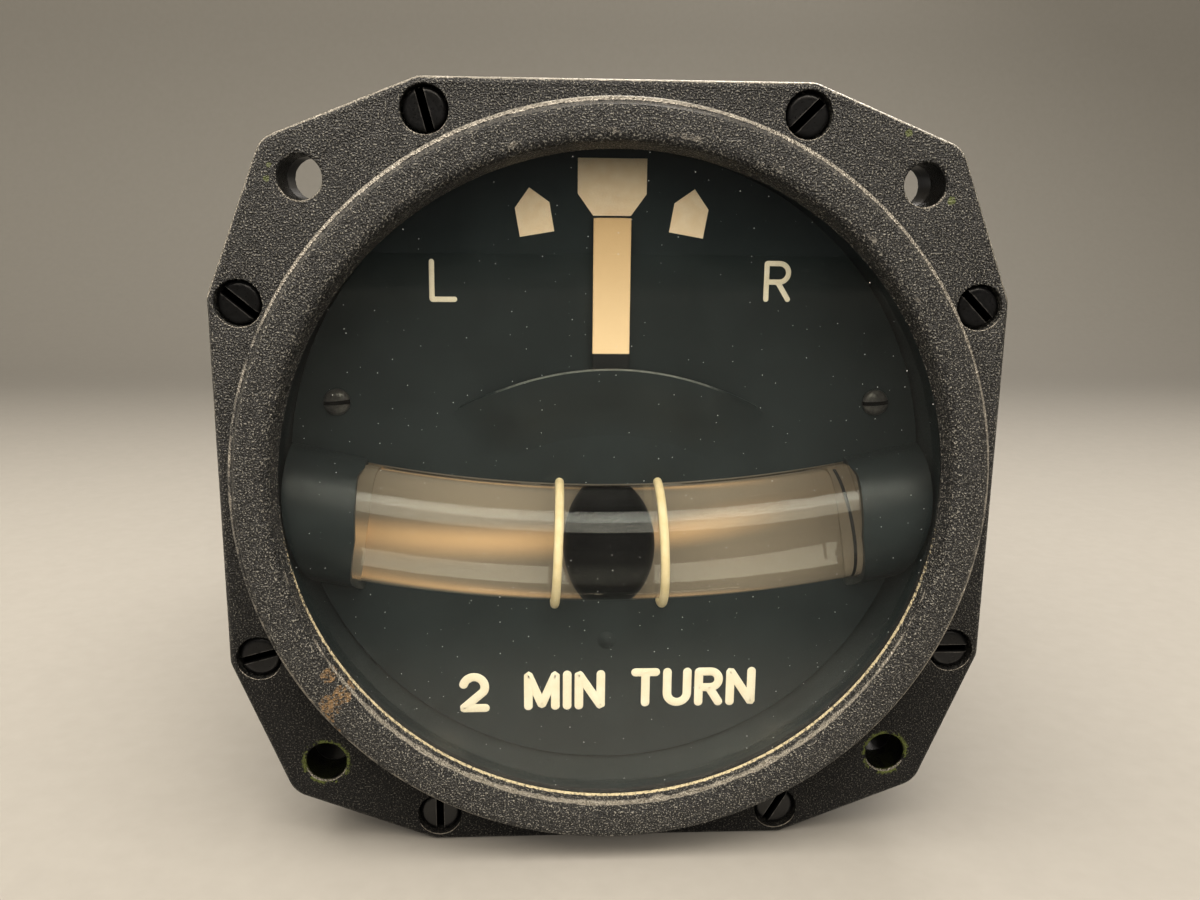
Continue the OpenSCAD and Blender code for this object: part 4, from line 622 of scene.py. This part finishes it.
# the slots' turns are as the photo shows them
bezelScrew = {"r": 2.15, "front": 0.5, "back": 2.3, "slot": (0.85, 0.9), "crown": 0.45, "drop": 0.4,
              "shank": (1.2, 8.2), "turns": (105, 45, -45, 0, 60, 90, 15, -40)}
makePiece("bezel_screw_set", slottedHeads(screwSpots, bezelScrew), blackOxide, "case",
          ["bezel_screws"])

dialScrew = {"spots": ((-30.0, 7.7), (30.0, 7.7)), "r": 1.45, "front": 7.45, "back": 8.55,
             "slot": (0.45, 0.5), "crown": 1.3, "drop": 0.8, "shank": (0.9, 14.5), "turns": (4, 4),
             "rub": 0.95, "holeR": 1.0}
makePiece("dial_screw_set", slottedHeads(dialScrew["spots"], dialScrew, dialScrew["rub"]), blackOxide, "case",
          ["dial_screws"])

# flatR keeps the faces' normals straight
glassPane = {"r": 37.2, "flatR": 36.2, "front": -2.5, "back": -0.3, "edge": 0.3}
g = glassPane
paneRim = np.vstack([[(0, g["front"]), (g["flatR"], g["front"])], roundOver(g["edge"]) + (g["r"], g["front"]),
                     roundBack(g["edge"], g["back"]) + (g["r"], 0),
                     [(g["flatR"], g["back"]), (0, g["back"])]])
pane = makePiece("glass_pane", [turned(paneRim, steps=160)], coverGlass, "case",
                 ["cover_glass"])
pane.visible_shadow = False
print("screws and glass made")

bend = {"z": 139.3, "r": 148.0, "y": 8.75}  # the slip tube's axis is an arc about (0, z), at depth y
dial = {"r": 35.3, "front": 8.55, "back": 9.55, "slotHalf": 6.95, "slotTurn": 11.966, "pivotZ": -20.6,
        "hoodFoot": 24.5, "hoodRun": 7.7, "hoodRise": 2.8, "hoodHalf": 33.0, "hoodWall": 0.5,
        "openFrom": 24.9, "openTo": 31.9, "openHalf": 30.5, "bead": 0.2, "beadShare": 0.93,
        "bumpR": 1.1, "bumpRise": 0.45}


def arcStrip(centreZ, inner, outer, half, steps, side):
    # a ring sector as a loop: one arc out, the other back; side is 1 above its centre and -1 below it
    a = np.radians(np.linspace(-half, half, steps))
    near, far = (np.stack([r * np.sin(a), centreZ + side * r * np.cos(a)], -1) for r in (inner, outer))
    return np.vstack([near, far[::-1]])


def inStrip(p, centreZ, inner, outer, half, steps, side):
    # the points that lie in that sector
    away = np.hypot(p[:, 0], p[:, 1] - centreZ)
    turn = np.degrees(np.arctan2(np.abs(p[:, 0]), side * (p[:, 1] - centreZ)))
    return (away > inner) & (away < outer) & (turn < half)


def dialShells():
    # both faces of the plate with its openings, and the walls between them
    slotIn, slotOut = bend["r"] - dial["slotHalf"], bend["r"] + dial["slotHalf"]
    tubeSlot = (bend["z"], slotIn, slotOut, dial["slotTurn"], 48, -1)
    opening = (dial["pivotZ"], dial["openFrom"], dial["openTo"], dial["openHalf"], 40, 1)
    holeR = dialScrew["holeR"]

    def onFace(p):
        keep = ~inStrip(p, *tubeSlot) & ~inStrip(p, *opening)
        for spot in dialScrew["spots"]:
            keep &= np.hypot(*(p - spot).T) > holeR * 0.99
        return keep
    loops = [circleLoop(dial["r"], (0, 0), 160)[0], arcStrip(*tubeSlot), arcStrip(*opening)]
    loops += [circleLoop(holeR, spot, 24)[0] for spot in dialScrew["spots"]]
    wall = [(0, dial["front"]), (0, dial["back"])]
    shells = [fillFlat(loops, depth, onFace) for _, depth in wall]
    return shells + [carryRound(loop, np.zeros(loop.shape), wall) for loop in loops]


def hoodFade(v):
    # one across the hood's middle, falling smoothly to nothing at its sides
    side = np.clip((1 - np.abs(v)) / 0.4, 0, 1)
    return side * side * (3 - 2 * side)


def hoodShells():
    # height above the dial = rise x ramp(u) x fade(v), both smooth: u from the foot to the crest, v across
    u, v = np.meshgrid(np.linspace(0, 1, 28), np.linspace(-1, 1, 81), indexing="ij")
    ramp = 0.35 * u + 0.65 * u * u * (3 - 2 * u)
    rise = dial["hoodRise"] * ramp * hoodFade(v)
    away = dial["hoodFoot"] + dial["hoodRun"] * u
    turn = np.radians(dial["hoodHalf"] * v)
    x, z = away * np.sin(turn), dial["pivotZ"] + away * np.cos(turn)
    top = np.stack([x, dial["front"] - 0.02 - rise, z], -1)
    under = np.stack([x, np.minimum(dial["front"] - rise + dial["hoodWall"], dial["back"]), z], -1)
    rows = np.concatenate([top, under[::-1]])
    ends = [gridShell(np.stack([top[:, k], under[:, k]], 1)) for k in (0, -1)]
    return [gridShell(rows, wrapRows=True)] + ends


def hoodBead():
    # the crest's rolled edge: a thin round carried along the crest, chalky with wear in its middle
    share = dial["beadShare"]
    v = np.linspace(-share, share, 81)
    away, turn = dial["hoodFoot"] + dial["hoodRun"], np.radians(dial["hoodHalf"] * v)
    depth = dial["front"] - dial["hoodRise"] * hoodFade(v) + dial["bead"]
    path = np.stack([away * np.sin(turn), depth, dial["pivotZ"] + away * np.cos(turn)], -1)
    path, wide, high = capped(path, dial["bead"], dial["bead"], 0.3)
    rub = np.pad(np.clip((share - np.abs(v)) / 0.45, 0, 1), 6)
    return sweep(path, (0, 1, 0), wide, high, 12, wear=rub[:, None])


def pivotBump():
    # the pressed bump over the pointer's pivot, height x cos^1.4 of the way to its rim
    t = np.linspace(0, 1, 9)
    dome = np.stack([dial["bumpR"] * t, dial["front"] - dial["bumpRise"] * np.cos(t * np.pi / 2) ** 1.4], -1)
    foot = dial["front"] + 0.2
    return turned(np.vstack([dome, [(dial["bumpR"], foot), (0, foot)]]), (0, dial["pivotZ"]), 40)


makePiece("dial_face", dialShells() + hoodShells() + [hoodBead(), pivotBump()], dialEnamel, "case",
          ["dial_plate"], evenFaces=True)
print("dial made")


def penPath(points, step=0.04, soften=3):
    # points along a line at even steps, with its corners rounded by a short running mean
    points = np.asarray(points, float)
    run = np.r_[0, np.cumsum(np.linalg.norm(np.diff(points, axis=0), axis=1))]
    at = np.linspace(0, run[-1], max(int(run[-1] / step), 4))
    line = np.stack([np.interp(at, run, points[:, k]) for k in range(points.shape[1])], -1)
    for _ in range(soften):
        line[1:-1] = (line[:-2] + line[1:-1] * 2 + line[2:]) / 4
    return line


def bow(cx, cz, rx, rz, start, end, steps=16):
    # an elliptical stretch of a letter, angles counted from the right and upwards
    a = np.radians(np.linspace(start, end, steps))
    return np.stack([cx + rx * np.cos(a), cz + rz * np.sin(a)], -1).tolist()


# each letter is drawn in a box one high; its width comes first
letters = {
    "L": (0.6, [[(0, 1), (0, 0), (0.6, 0)]]),
    "R": (0.62, [[(0, 0), (0, 1), (0.36, 1)] + bow(0.36, 0.74, 0.26, 0.26, 90, -90) + [(0, 0.48)],
                 [(0.32, 0.48), (0.62, 0)]]),
    "2": (0.65, [bow(0.32, 0.68, 0.32, 0.32, 165, -28) + [(0, 0), (0.65, 0)]]),
    "M": (0.81, [[(0, 0), (0, 1), (0.405, 0.05), (0.81, 1), (0.81, 0)]]),
    "I": (0.0, [[(0, 0), (0, 1)]]),
    "N": (0.655, [[(0, 0), (0, 1), (0.655, 0), (0.655, 1)]]),
    "T": (0.625, [[(0, 1), (0.625, 1)], [(0.3125, 1), (0.3125, 0)]]),
    "U": (0.62, [[(0, 1), (0, 0.31)] + bow(0.31, 0.31, 0.31, 0.31, 180, 360) + [(0.62, 1)]]),
}
legend = {"rise": 0.07, "words": (  # text, left, right, foot, head, stroke
    ("L", -19.7, -16.69, 18.67, 23.27, 0.58), ("R", 16.81, 20.03, 18.9, 23.36, 0.58),
    ("2", -17.28, -13.78, -29.44, -24.5, 1.02), ("MIN", -9.67, -0.11, -29.29, -24.34, 1.02),
    ("TURN", 2.97, 17.81, -29.02, -24.17, 1.02))}


def legendShells():
    # each stroke is a low round carried along the pen's path; letters of a word stand at even gaps
    shells = []
    for text, left, right, foot, head, stroke in legend["words"]:
        high = head - foot - stroke
        wides = [letters[c][0] * high for c in text]
        gap = (right - left - stroke * len(text) - sum(wides)) / max(len(text) - 1, 1)
        start = left + stroke / 2
        for c, w in zip(text, wides):
            for line in letters[c][1]:
                flat = penPath(np.asarray(line) * high + (start, foot + stroke / 2))
                path = np.stack([flat[:, 0], np.full(len(flat), dial["front"]), flat[:, 1]], -1)
                path, wide, rise = capped(path, stroke / 2, legend["rise"], stroke / 2)
                shells.append(sweep(path, (0, 1, 0), wide, rise, 14))
            start += w + stroke + gap
    return shells


makePiece("dial_legend", legendShells(), legendEnamel, "case", [])
print("legend made")

tube = {"r": 6.55, "half": 30.4, "rings": 90, "sides": 56, "dish": 0.6}


def bentSolid(shape):
    # a circle carried along the tube's arc: centre (R sin a, y, Z - R cos a), with slightly dished ends
    half, inset = math.asin(shape["half"] / bend["r"]), shape["dish"] / bend["r"]
    t = quarter(7)
    end = half - inset * (1 - np.sin(t))
    a = np.r_[-end, np.linspace(-half + inset, half - inset, shape["rings"])[1:-1], end[::-1]]
    swell = np.r_[np.sin(t), np.ones(shape["rings"] - 2), np.cos(t)]
    size = shape["r"] - shape["dish"] + shape["dish"] * swell
    a, size = np.r_[a[0], a, a[-1]], np.r_[1e-4, size, 1e-4]
    b = np.arange(shape["sides"]) / shape["sides"] * 2 * np.pi
    away, a = bend["r"] + size[:, None] * np.cos(b), a[:, None]
    y = bend["y"] + size[:, None] * np.sin(b)
    grid = np.stack([away * np.sin(a), y, bend["z"] - away * np.cos(a)], -1)
    return gridShell(grid, wrapCols=True)


vial = makePiece("slip_tube", [bentSolid(tube)], tubeGlass, "case",
                 ["inclinometer_tube", "tube_plugs"], smoothTo=60)
vial.visible_shadow = False

ballShape = {"r": 5.2, "z": bend["z"] - bend["r"]}
lat = np.linspace(-np.pi / 2, np.pi / 2, 33)
ballProfile = np.stack([ballShape["r"] * np.cos(lat), bend["y"] + ballShape["r"] * np.sin(lat)], -1)
makePiece("slip_ball_sphere", [turned(ballProfile, (0, ballShape["z"]), 64)], ballGloss, "ball",
          ["inclinometer_ball"])

wireShape = {"at": 5.85, "ring": 7.1, "r": 0.5, "tailTo": 10.35}
rearward = np.array([0, 1, 0])


def acrossTube(x):
    # the tube's middle at x, and the directions away from the bend's centre and along the tube
    turn = math.asin(x / bend["r"])
    s, c = math.sin(turn), math.cos(turn)
    radial, along = np.array([s, 0, -c]), np.array([c, 0, s])
    return radial * bend["r"] + (0, bend["y"], bend["z"]), radial, along


def wireShells():
    # half a ring over the tube's front with straight tails through the dial, square to the tube's axis
    shells = []
    for side in (-1, 1):
        middle, radial, along = acrossTube(side * wireShape["at"])
        a = np.linspace(-np.pi / 2, np.pi / 2, 41)[:, None]
        hoop = middle + wireShape["ring"] * (np.sin(a) * radial - np.cos(a) * rearward)
        tail = np.linspace(wireShape["tailTo"], bend["y"], 6)[:-1, None] * rearward
        ends = hoop[[0, -1]] * (1 - rearward)
        path = np.vstack([ends[0] + tail, hoop, (ends[1] + tail)[::-1]])
        path, wide, high = capped(path, wireShape["r"], wireShape["r"], 0.2, 4)
        shells.append(sweep(path, along, wide, high, 16))
    return shells


makePiece("index_wire_pair", wireShells(), ivoryEnamel, "case", ["index_wires"], smoothTo=60)

cover = {"r": 7.45, "bore": 6.7, "from": 27.5, "rim": 35.1, "corner": (0.6, 1.2)}


def coverShells():
    # half an annulus carried along the arc from its start to the dial's edge, where x^2 + z^2 = rim^2:
    # cos a = (p^2 + Z^2 - rim^2) / (2 p Z), p being a point's distance from the bend's centre
    shells, steps = [], 33
    b = np.radians(np.linspace(-90, 90, steps))
    r, turn = np.repeat([cover["r"], cover["bore"]], steps), np.r_[b, b[::-1]]
    p, y = bend["r"] + r * np.sin(turn), bend["y"] - r * np.cos(turn)
    end = np.arccos((p ** 2 + bend["z"] ** 2 - cover["rim"] ** 2) / (2 * p * bend["z"]))
    corner = np.where(turn < 0, *cover["corner"])  # the upper and lower corners' rounding
    off = np.clip((np.abs(r * np.sin(turn)) - cover["bore"] + corner) / corner, 0, 1)
    # the inner end is upright above the tube's middle and square to the tube below it
    fromX = cover["from"] * np.maximum(p, bend["r"]) / bend["r"]
    start = np.arcsin((fromX - corner * (1 - np.sqrt(1 - off ** 2))) / p)
    a = start + np.linspace(0, 1, 8)[:, None] * (end - start)
    for side in (-1, 1):
        grid = np.stack([side * p * np.sin(a), np.broadcast_to(y, a.shape), bend["z"] - p * np.cos(a)], -1)
        shells.append(gridShell(grid, wrapCols=True))
        shells += [gridShell(np.stack([row[:steps], row[:steps - 1:-1]], 1)) for row in (grid[0], grid[-1])]
    return shells


seal = {"x": 26.8, "r": 6.2, "half": 0.19, "turn": (-172, -8)}


def sealShells():
    # the end seal's edge at the tube's right: a thin round carried across the front half of the bore
    middle, radial, along = acrossTube(seal["x"])
    a = np.radians(np.linspace(*seal["turn"], 48))[:, None]
    path = middle + seal["r"] * (np.cos(a) * radial + np.sin(a) * rearward)
    path, wide, high = capped(path, seal["half"], seal["half"], seal["half"])
    return [sweep(path, along, wide, high)]


makePiece("tube_seal_edge", sealShells(), nitrile, "case", [])
makePiece("tube_end_cover_pair", coverShells(), dialEnamel, "case", ["tube_end_covers"])
print("slip tube made")

needle = {"half": 2.025, "thick": 0.6, "armY": 18.05, "bladeY": 7.65, "bendZ": (1.0, 10.6), "tip": 27.8,
          "armFrom": 2.2, "hubR": 3.0, "boreR": 1.0, "painted": 13.2, "paintEdge": 0.08, "fadeFrom": 14.0,
          "low": "#fad9aa", "top": "#d4b182", "bare": "#0b0d0e", "grain": 0.3, "depth": 0.02}


def needleFinish(look):
    # luminous paint on the blade above the painted line, darkened towards the tip by painted shade, and dial
    # black below it
    material, add = newMaterial("agedLuminousNeedlePaint")
    place = add("TexCoord")["Object"]
    height = add("SeparateXYZ", {"Vector": place})[2]
    start, end = look["painted"] * mm, (look["painted"] + look["paintEdge"]) * mm
    lit = add("MapRange", {"From": (start, end), "Value": height})[0]
    # painted shade: the cream darkens from fadeFrom to the tip, where the bezel's ring shades the blade
    up = add("MapRange", {"From": (look["fadeFrom"] * mm, look["tip"] * mm), "Value": height})[0]
    cream = add("Mix", {"data_type": "RGBA", 0: up, 6: toLinear(look["low"]), 7: toLinear(look["top"])})[2]
    colour = add("Mix", {"data_type": "RGBA", 0: lit, 6: toLinear(look["bare"]), 7: cream})[2]
    grains = add("TexNoise", {"Scale": 1 / (look["grain"] * mm), "Detail": 2.0, "Vector": place})[0]
    relief = add("Bump", {"Strength": 1.0, "Distance": look["depth"] * mm, "Height": grains})[0]
    skin = add("BsdfPrincipled", {"Roughness": 0.6, "Base Color": colour, "Normal": relief})
    add("OutputMaterial", {"Surface": skin[0]})
    return material


def needleShells():
    # a flat strip carried from the pivot along the arm, forward through the slot and up the blade
    half, armY, bladeY, cap = needle["thick"] / 2, needle["armY"], needle["bladeY"], 0.05
    bendFrom, bendTo = needle["bendZ"]
    line = [(dial["pivotZ"] + needle["armFrom"], armY), (bendFrom, armY), (bendTo, bladeY),
            (needle["tip"] - cap, bladeY)]
    flat = penPath(line, 0.12, 6)
    path = np.stack([np.zeros(len(flat)), flat[:, 1], flat[:, 0]], -1)
    path, thick, wide = capped(path, half, needle["half"], cap, 2)
    bore, outer = needle["boreR"], needle["hubR"]
    hub = [(bore, armY - half), (outer, armY - half), (outer, armY + half), (bore, armY + half)]
    return [sweep(path, (1, 0, 0), thick, wide, 32, 8.0), turned(hub, (0, dial["pivotZ"]), 48, True)]


makePiece("turn_needle", needleShells(), needleFinish(needle), "pointer", ["turn_pointer"])
print("needle made")


def discFace(outer, inner, depth, holes=(), steps=256):
    # a flat disc or ring with round holes, each (spot, radius)
    def onFace(p):
        away = np.hypot(p[:, 0], p[:, 1])
        keep = (away > inner * math.cos(math.pi / steps)) & (away < outer)
        for spot, radius in holes:
            keep &= np.hypot(*(p - spot).T) > radius * math.cos(math.pi / 24)
        return keep
    loops = [circleLoop(r, (0, 0), steps)[0] for r in (outer, inner) if r]
    return fillFlat(loops + [circleLoop(r, spot, 24)[0] for spot, r in holes], depth, onFace)


def holeWalls(spots, radius, start, end, steps=24, blind=False, wear=0.0):
    # straight round walls, closed at the end where they are blind
    profile = [(0, start), (0, end)] + [(radius, end)] * blind
    loops = [circleLoop(radius, spot, steps) for spot in spots]
    return [carryRound(hole, -inward, profile, wear) for hole, inward in loops]


caseBody = {"inset": 0.4, "r": 38.9, "flangeBack": 8.8, "back": 112.55, "frontBore": 37.4, "bore": 34.8,
            "step": 27.55, "fillet": 0.6, "flangeEdge": (0.2, 0.6), "edge": 0.6, "boreEdge": 0.2,
            "screwR": 36.85, "tap": 1.1, "tapTo": 106.05, "mountShade": -0.85}
coverSpots = caseBody["screwR"] * bearing(np.radians(np.arange(6) * 60 + 30))


def caseShells():
    # the can's flange, then its wall turned about Y: fillet, straight wall, rounded rear edge and bores
    c, front, mountR, shankR = caseBody, flange["depth"], flange["mountR"], flange["shankR"]
    flangeBack, back, edge = c["flangeBack"], c["back"], c["boreEdge"]
    fillet = roundOver(c["fillet"], 7) * (-1, 1) + (c["r"], flangeBack)
    holes = [(p, r, r) for spots, r in ((mountSpots, mountR), (screwSpots, shankR)) for p in spots]
    shells = flangePlate(*flangeLoop(c["inset"]), front, flangeBack, c["frontBore"], fillet[0, 0], holes,
                         c["flangeEdge"])
    # the mount holes' walls take wear below nought: painted shade, near black and dull
    shells += holeWalls(mountSpots, mountR, front, flangeBack, 40, wear=c["mountShade"])
    shells += holeWalls(screwSpots, shankR, front, flangeBack, 40)
    wall = np.vstack([fillet, roundBack(c["edge"], back) + (c["r"], 0)])
    bore = [(c["bore"] + edge, back), (c["bore"], back - edge), (c["bore"], c["step"]),
            (c["frontBore"], c["step"]), (c["frontBore"], front)]
    shells += [turned(wall, steps=256), turned(bore, steps=256)]
    shells.append(discFace(c["r"] - c["edge"], c["bore"] + edge, back, [(p, c["tap"]) for p in coverSpots]))
    return shells + holeWalls(coverSpots, c["tap"], back, c["tapTo"], blind=True)


makePiece("case_can", caseShells(), caseEnamel, "case", ["instrument_case"], evenFaces=True)

coverPlate = {"front": 113.35, "back": 116.35, "edge": 0.8, "frontEdge": 0.2, "centre": 8.2,
              "spigot": (34.6, 32.6), "spigotTo": 110.05, "tap": 1.1, "plugAt": 9.15, "plugTap": 1.3}
plugSpots = coverPlate["plugAt"] * corners


def coverPlateShells():
    # a disc with a rounded rear edge, a spigot ring on its front, a middle hole and the screws' holes
    c, r = coverPlate, caseBody["r"]
    front, back, centre = c["front"], c["back"], c["centre"]
    rim = np.vstack([roundOver(c["frontEdge"]) + (r, front), roundBack(c["edge"], back) + (r, 0)])
    outer, inner = [(p, c["tap"]) for p in coverSpots], [(p, c["plugTap"]) for p in plugSpots]
    outside, inside = c["spigot"]
    spigot = [(outside, front), (outside, c["spigotTo"]), (inside, c["spigotTo"]), (inside, front)]
    shells = [turned(profile, steps=256) for profile in (rim, spigot, [(centre, front), (centre, back)])]
    shells += [discFace(r - c["edge"], centre, back, outer + inner), discFace(inside, centre, front, inner),
               discFace(r - c["frontEdge"], outside, front, outer)]
    shells += holeWalls(coverSpots, c["tap"], front, back)
    return shells + holeWalls(plugSpots, c["plugTap"], front, back)


makePiece("rear_cover_disc", coverPlateShells(), caseEnamel, "case", ["rear_cover"],
          evenFaces=True)

coverScrew = {"r": 1.9, "front": 117.75, "back": 116.35, "slot": (0.6, 0.7), "crown": 1.3, "drop": 0.9,
              "shank": (1.0, 106.55), "turns": (70, 10, 130, 95, 40, 160)}
plugScrew = {"r": 2.1, "front": 120.15, "back": 118.75, "slot": (0.65, 0.7), "crown": 1.4, "drop": 0.9,
             "shank": (1.2, 113.85), "turns": (20, 115, 60, 150)}
makePiece("rear_screw_set", slottedHeads(coverSpots, coverScrew, facing=-1), zincPlate, "case",
          ["rear_cover_screws"])
makePiece("connector_screw_set", slottedHeads(plugSpots, plugScrew, facing=-1), zincPlate, "case",
          ["connector_screws"])

plug = {"half": 12.7, "corner": 2.4, "front": 116.35, "back": 118.75, "edges": (0.2, 0.45),
        "r": 7.9, "bore": 6.6, "mouth": 130.75, "mouthEdges": (0.5, 0.25), "tail": 112.35, "fillet": 0.5,
        "pitch": 1.27, "cut": 0.5, "thread": (120.2, 129.9)}


def squareLoop(half, corner):
    # quarter arcs at the corners, point = arc centre + radius x normal, with straight edges between them
    normal = bearing(quarter(9))
    return fourQuarters(half - corner + corner * normal), fourQuarters(normal)


def plugShells():
    # square flange and barrel; thread r = R - cut/2 (1 - cos(2 pi y / pitch - turn)), faded at both ends
    c, tap = plug, coverPlate["plugTap"]
    front, back, r, bore = c["front"], c["back"], c["r"], c["bore"]
    holes = [(p, tap, tap) for p in plugSpots]
    shells = flangePlate(*squareLoop(c["half"], c["corner"]), front, back, r, r + c["fillet"], holes,
                         c["edges"])
    shells += holeWalls(plugSpots, tap, front, back, 40)
    fillet = roundOver(c["fillet"], 5) * (-1, 1) + (r, back)
    y = np.linspace(*c["thread"], 96)
    fade = np.clip(np.minimum(y - y[0], y[-1] - y) / (1.5 * c["pitch"]), 0, 1)
    end, (outer, inner) = c["mouth"], c["mouthEdges"]
    mouth = np.array([(r, end - outer), (r - outer, end), (bore + inner, end), (bore, end - inner),
                      (bore, c["tail"]), (r, c["tail"]), (r, front)])
    depth = np.r_[fillet[:, 1], y, mouth[:, 1]]
    plain = np.r_[fillet[:, 0], np.full(len(y), r), mouth[:, 0]]
    deep = np.r_[np.zeros(len(fillet)), fade * c["cut"] / 2, np.zeros(len(mouth))]
    turn = np.arange(256)[:, None] / 256 * 2 * np.pi
    radius = plain - deep * (1 - np.cos(2 * np.pi * depth / c["pitch"] - turn))
    grid = np.stack([radius * np.sin(turn), np.broadcast_to(depth, radius.shape), radius * np.cos(turn)], -1)
    return shells + [gridShell(grid, wrapRows=True)]


makePiece("connector_barrel", plugShells(), olivePassivate, "case", ["connector_shell"])

insert = {"r": 6.58, "front": 112.35, "back": 120.75, "edges": (0.2, 0.35), "hole": 0.82,
          "collar": (1.4, 0.3, 0.1), "pinR": 0.8, "pinAt": 3.2, "pin": (111.35, 124.75)}
pinSpots = insert["pinAt"] * bearing(np.radians([0, 120, 240]))


def insertShells():
    # a round block with rounded edges and a low collar (radius, height, chamfer) round each contact's hole
    c, front, back, (frontEdge, backEdge) = insert, insert["front"], insert["back"], insert["edges"]
    wide, high, chamfer = c["collar"]
    top, wall = back + high, wide - c["hole"]
    rim = np.vstack([roundOver(frontEdge) + (c["r"], front), roundBack(backEdge, back) + (c["r"], 0)])
    shells = [turned(rim), discFace(c["r"] - frontEdge, 0, front, [(p, c["hole"]) for p in pinSpots], 96),
              discFace(c["r"] - backEdge, 0, back, [(p, wide) for p in pinSpots], 96)]
    collar = [(0, back), (0, top - chamfer), (chamfer, top), (wall, top), (wall, front)]
    for spot in pinSpots:
        loop, inward = circleLoop(wide, spot, 24)
        shells.append(carryRound(loop, -inward, collar))
    return shells


makePiece("connector_insert_block", insertShells(), mouldedInsert, "case",
          ["connector_insert"])
tipTurn = quarter(8)
pinR, (pinFrom, pinTo) = insert["pinR"], insert["pin"]
pinEnd = np.stack([pinR * np.cos(tipTurn), pinTo - pinR * (1 - np.sin(tipTurn))], -1)
pinProfile = np.vstack([[(0, pinFrom), (pinR, pinFrom)], pinEnd])
makePiece("connector_pin_set", [turned(pinProfile, spot, 24) for spot in pinSpots], turnedBrass, "case",
          ["connector_pins"])
print("case and connector made")

# what stays a CAD node gets its own finish
nodeFinishes = {
    zincPlate: ("frame_screws",),
    groundSteel: ("frame_posts", "gimbal_pivots", "drive_pin", "damper_pin", "spring_pin", "rotor_shaft",
                  "pointer_staff", "travel_stops", "centering_spring"),
    nitrile: ("glass_gasket", "rear_gasket"),
    dialEnamel: ("spacer_ring",),
    markPaint: ("dial_markings",),
    creamBacking: ("tube_cradle",),
    turnedBrass: ("pointer_fork", "pointer_counterweight", "rotor_flywheel", "governor", "spring_adjuster"),
    sinteredBronze: ("pointer_bushes", "gimbal_bearings", "rotor_bearings"),
    drawnCopper: ("commutator",),
    machinedAluminium: ("dial_posts", "pointer_bridge", "front_plate", "rear_plate", "gimbal_frame",
                        "damper_cylinder", "damper_cap", "damper_piston"),
    varnishedIron: ("armature_core", "motor_yoke", "field_magnets"),
    paperPhenolic: ("brush_plate", "terminal_block"),
    pressedCarbon: ("brushes",),
    leadCotton: ("connector_leads",),
}
for material, names in nodeFinishes.items():
    for name in names:
        cadNodes[name].data.materials.clear()
        cadNodes[name].data.materials.append(material)
print("nodes finished")

stageShape = {"z": -41.35, "front": -1600.0, "flatTo": 330.0, "curve": 160.0, "top": 520.0, "half": 2500.0}


def stageShells():
    # floor and backdrop in one sweep: straight floor, quarter round, straight wall
    s = stageShape
    a = quarter(14)
    wallY = s["flatTo"] + s["curve"]
    y = np.r_[np.linspace(s["front"], s["flatTo"], 6)[:-1], s["flatTo"] + s["curve"] * np.sin(a), wallY]
    z = np.r_[np.full(5, s["z"]), s["z"] + s["curve"] * (1 - np.cos(a)), s["top"]]
    x = np.linspace(-s["half"], s["half"], 9)[:, None]
    return gridShell(np.stack(np.broadcast_arrays(x, y, z), -1))


floorPoints, floorFaces, _ = stageShells()
floorMesh = bpy.data.meshes.new("studio_floor")
floorMesh.from_pydata((floorPoints * mm).tolist(), [], floorFaces[:, ::-1].tolist())
floorMesh.shade_smooth()
floorMesh.materials.append(studioPaper)
studioFloor = bpy.data.objects.new("studio_floor", floorMesh)
bpy.context.scene.collection.objects.link(studioFloor)

photoCamera = {"place": (-8.013, -112.70, 28.829), "turn": (77.537, -3.248, -0.087), "lens": 32.93,
               "sensor": 36.0, "clip": 5.0}
lens = bpy.data.cameras.new("photo_camera")
lens.lens, lens.sensor_width = photoCamera["lens"], photoCamera["sensor"]
lens.clip_start = photoCamera["clip"] * mm
camera = bpy.data.objects.new("photo_camera", lens)
camera.location = Vector(photoCamera["place"]) * mm
camera.rotation_mode = "ZYX"
camera.rotation_euler = [math.radians(t) for t in photoCamera["turn"]]
bpy.context.scene.collection.objects.link(camera)
bpy.context.scene.camera = camera

# soft boxes: place and aim in millimetres, width and height in millimetres, power in watts, colour, and
# whether it is mirrored: the fill stands for light thrown back by a dull room, which shows no image in gloss
softBoxes = {
    "key_box": ((-90, -240, 640), (0, 0, 0), (1500, 800), 15.0, "#fff3e2", True),
    "fill_box": ((-60, -900, 350), (-60, 0, 350), (2000, 600), 14.2, "#fff6ea", False),
    "top_box": ((-50, -70, 470), (0, 10, 0), (700, 300), 2.6, "#fffaf2", True),
    "rear_box": ((160, 420, 300), (0, 20, 20), (300, 180), 1.6, "#fff8f0", True),
}
for name, (place, aim, size, power, tint, mirrored) in softBoxes.items():
    lamp = bpy.data.lights.new(name, "AREA")
    lamp.shape, lamp.size, lamp.size_y = "RECTANGLE", size[0] * mm, size[1] * mm
    lamp.energy, lamp.color = power, toLinear(tint)[:3]
    box = bpy.data.objects.new(name, lamp)
    box.location = Vector(place) * mm
    box.rotation_euler = (Vector(aim) - Vector(place)).to_track_quat("-Z", "Y").to_euler()
    box.visible_glossy = box.visible_transmission = mirrored
    bpy.context.scene.collection.objects.link(box)
air = {"tint": "#f4f1ec", "strength": 0.05}
world = bpy.data.worlds.new("studio_air")
world.use_nodes = True
backdrop = world.node_tree.nodes["Background"].inputs
backdrop["Color"].default_value, backdrop["Strength"].default_value = toLinear(air["tint"]), air["strength"]
bpy.context.scene.world = world
bpy.context.scene.view_settings.view_transform = "Standard"  # plain tones, as a phone shows them
print("stage and lights set")
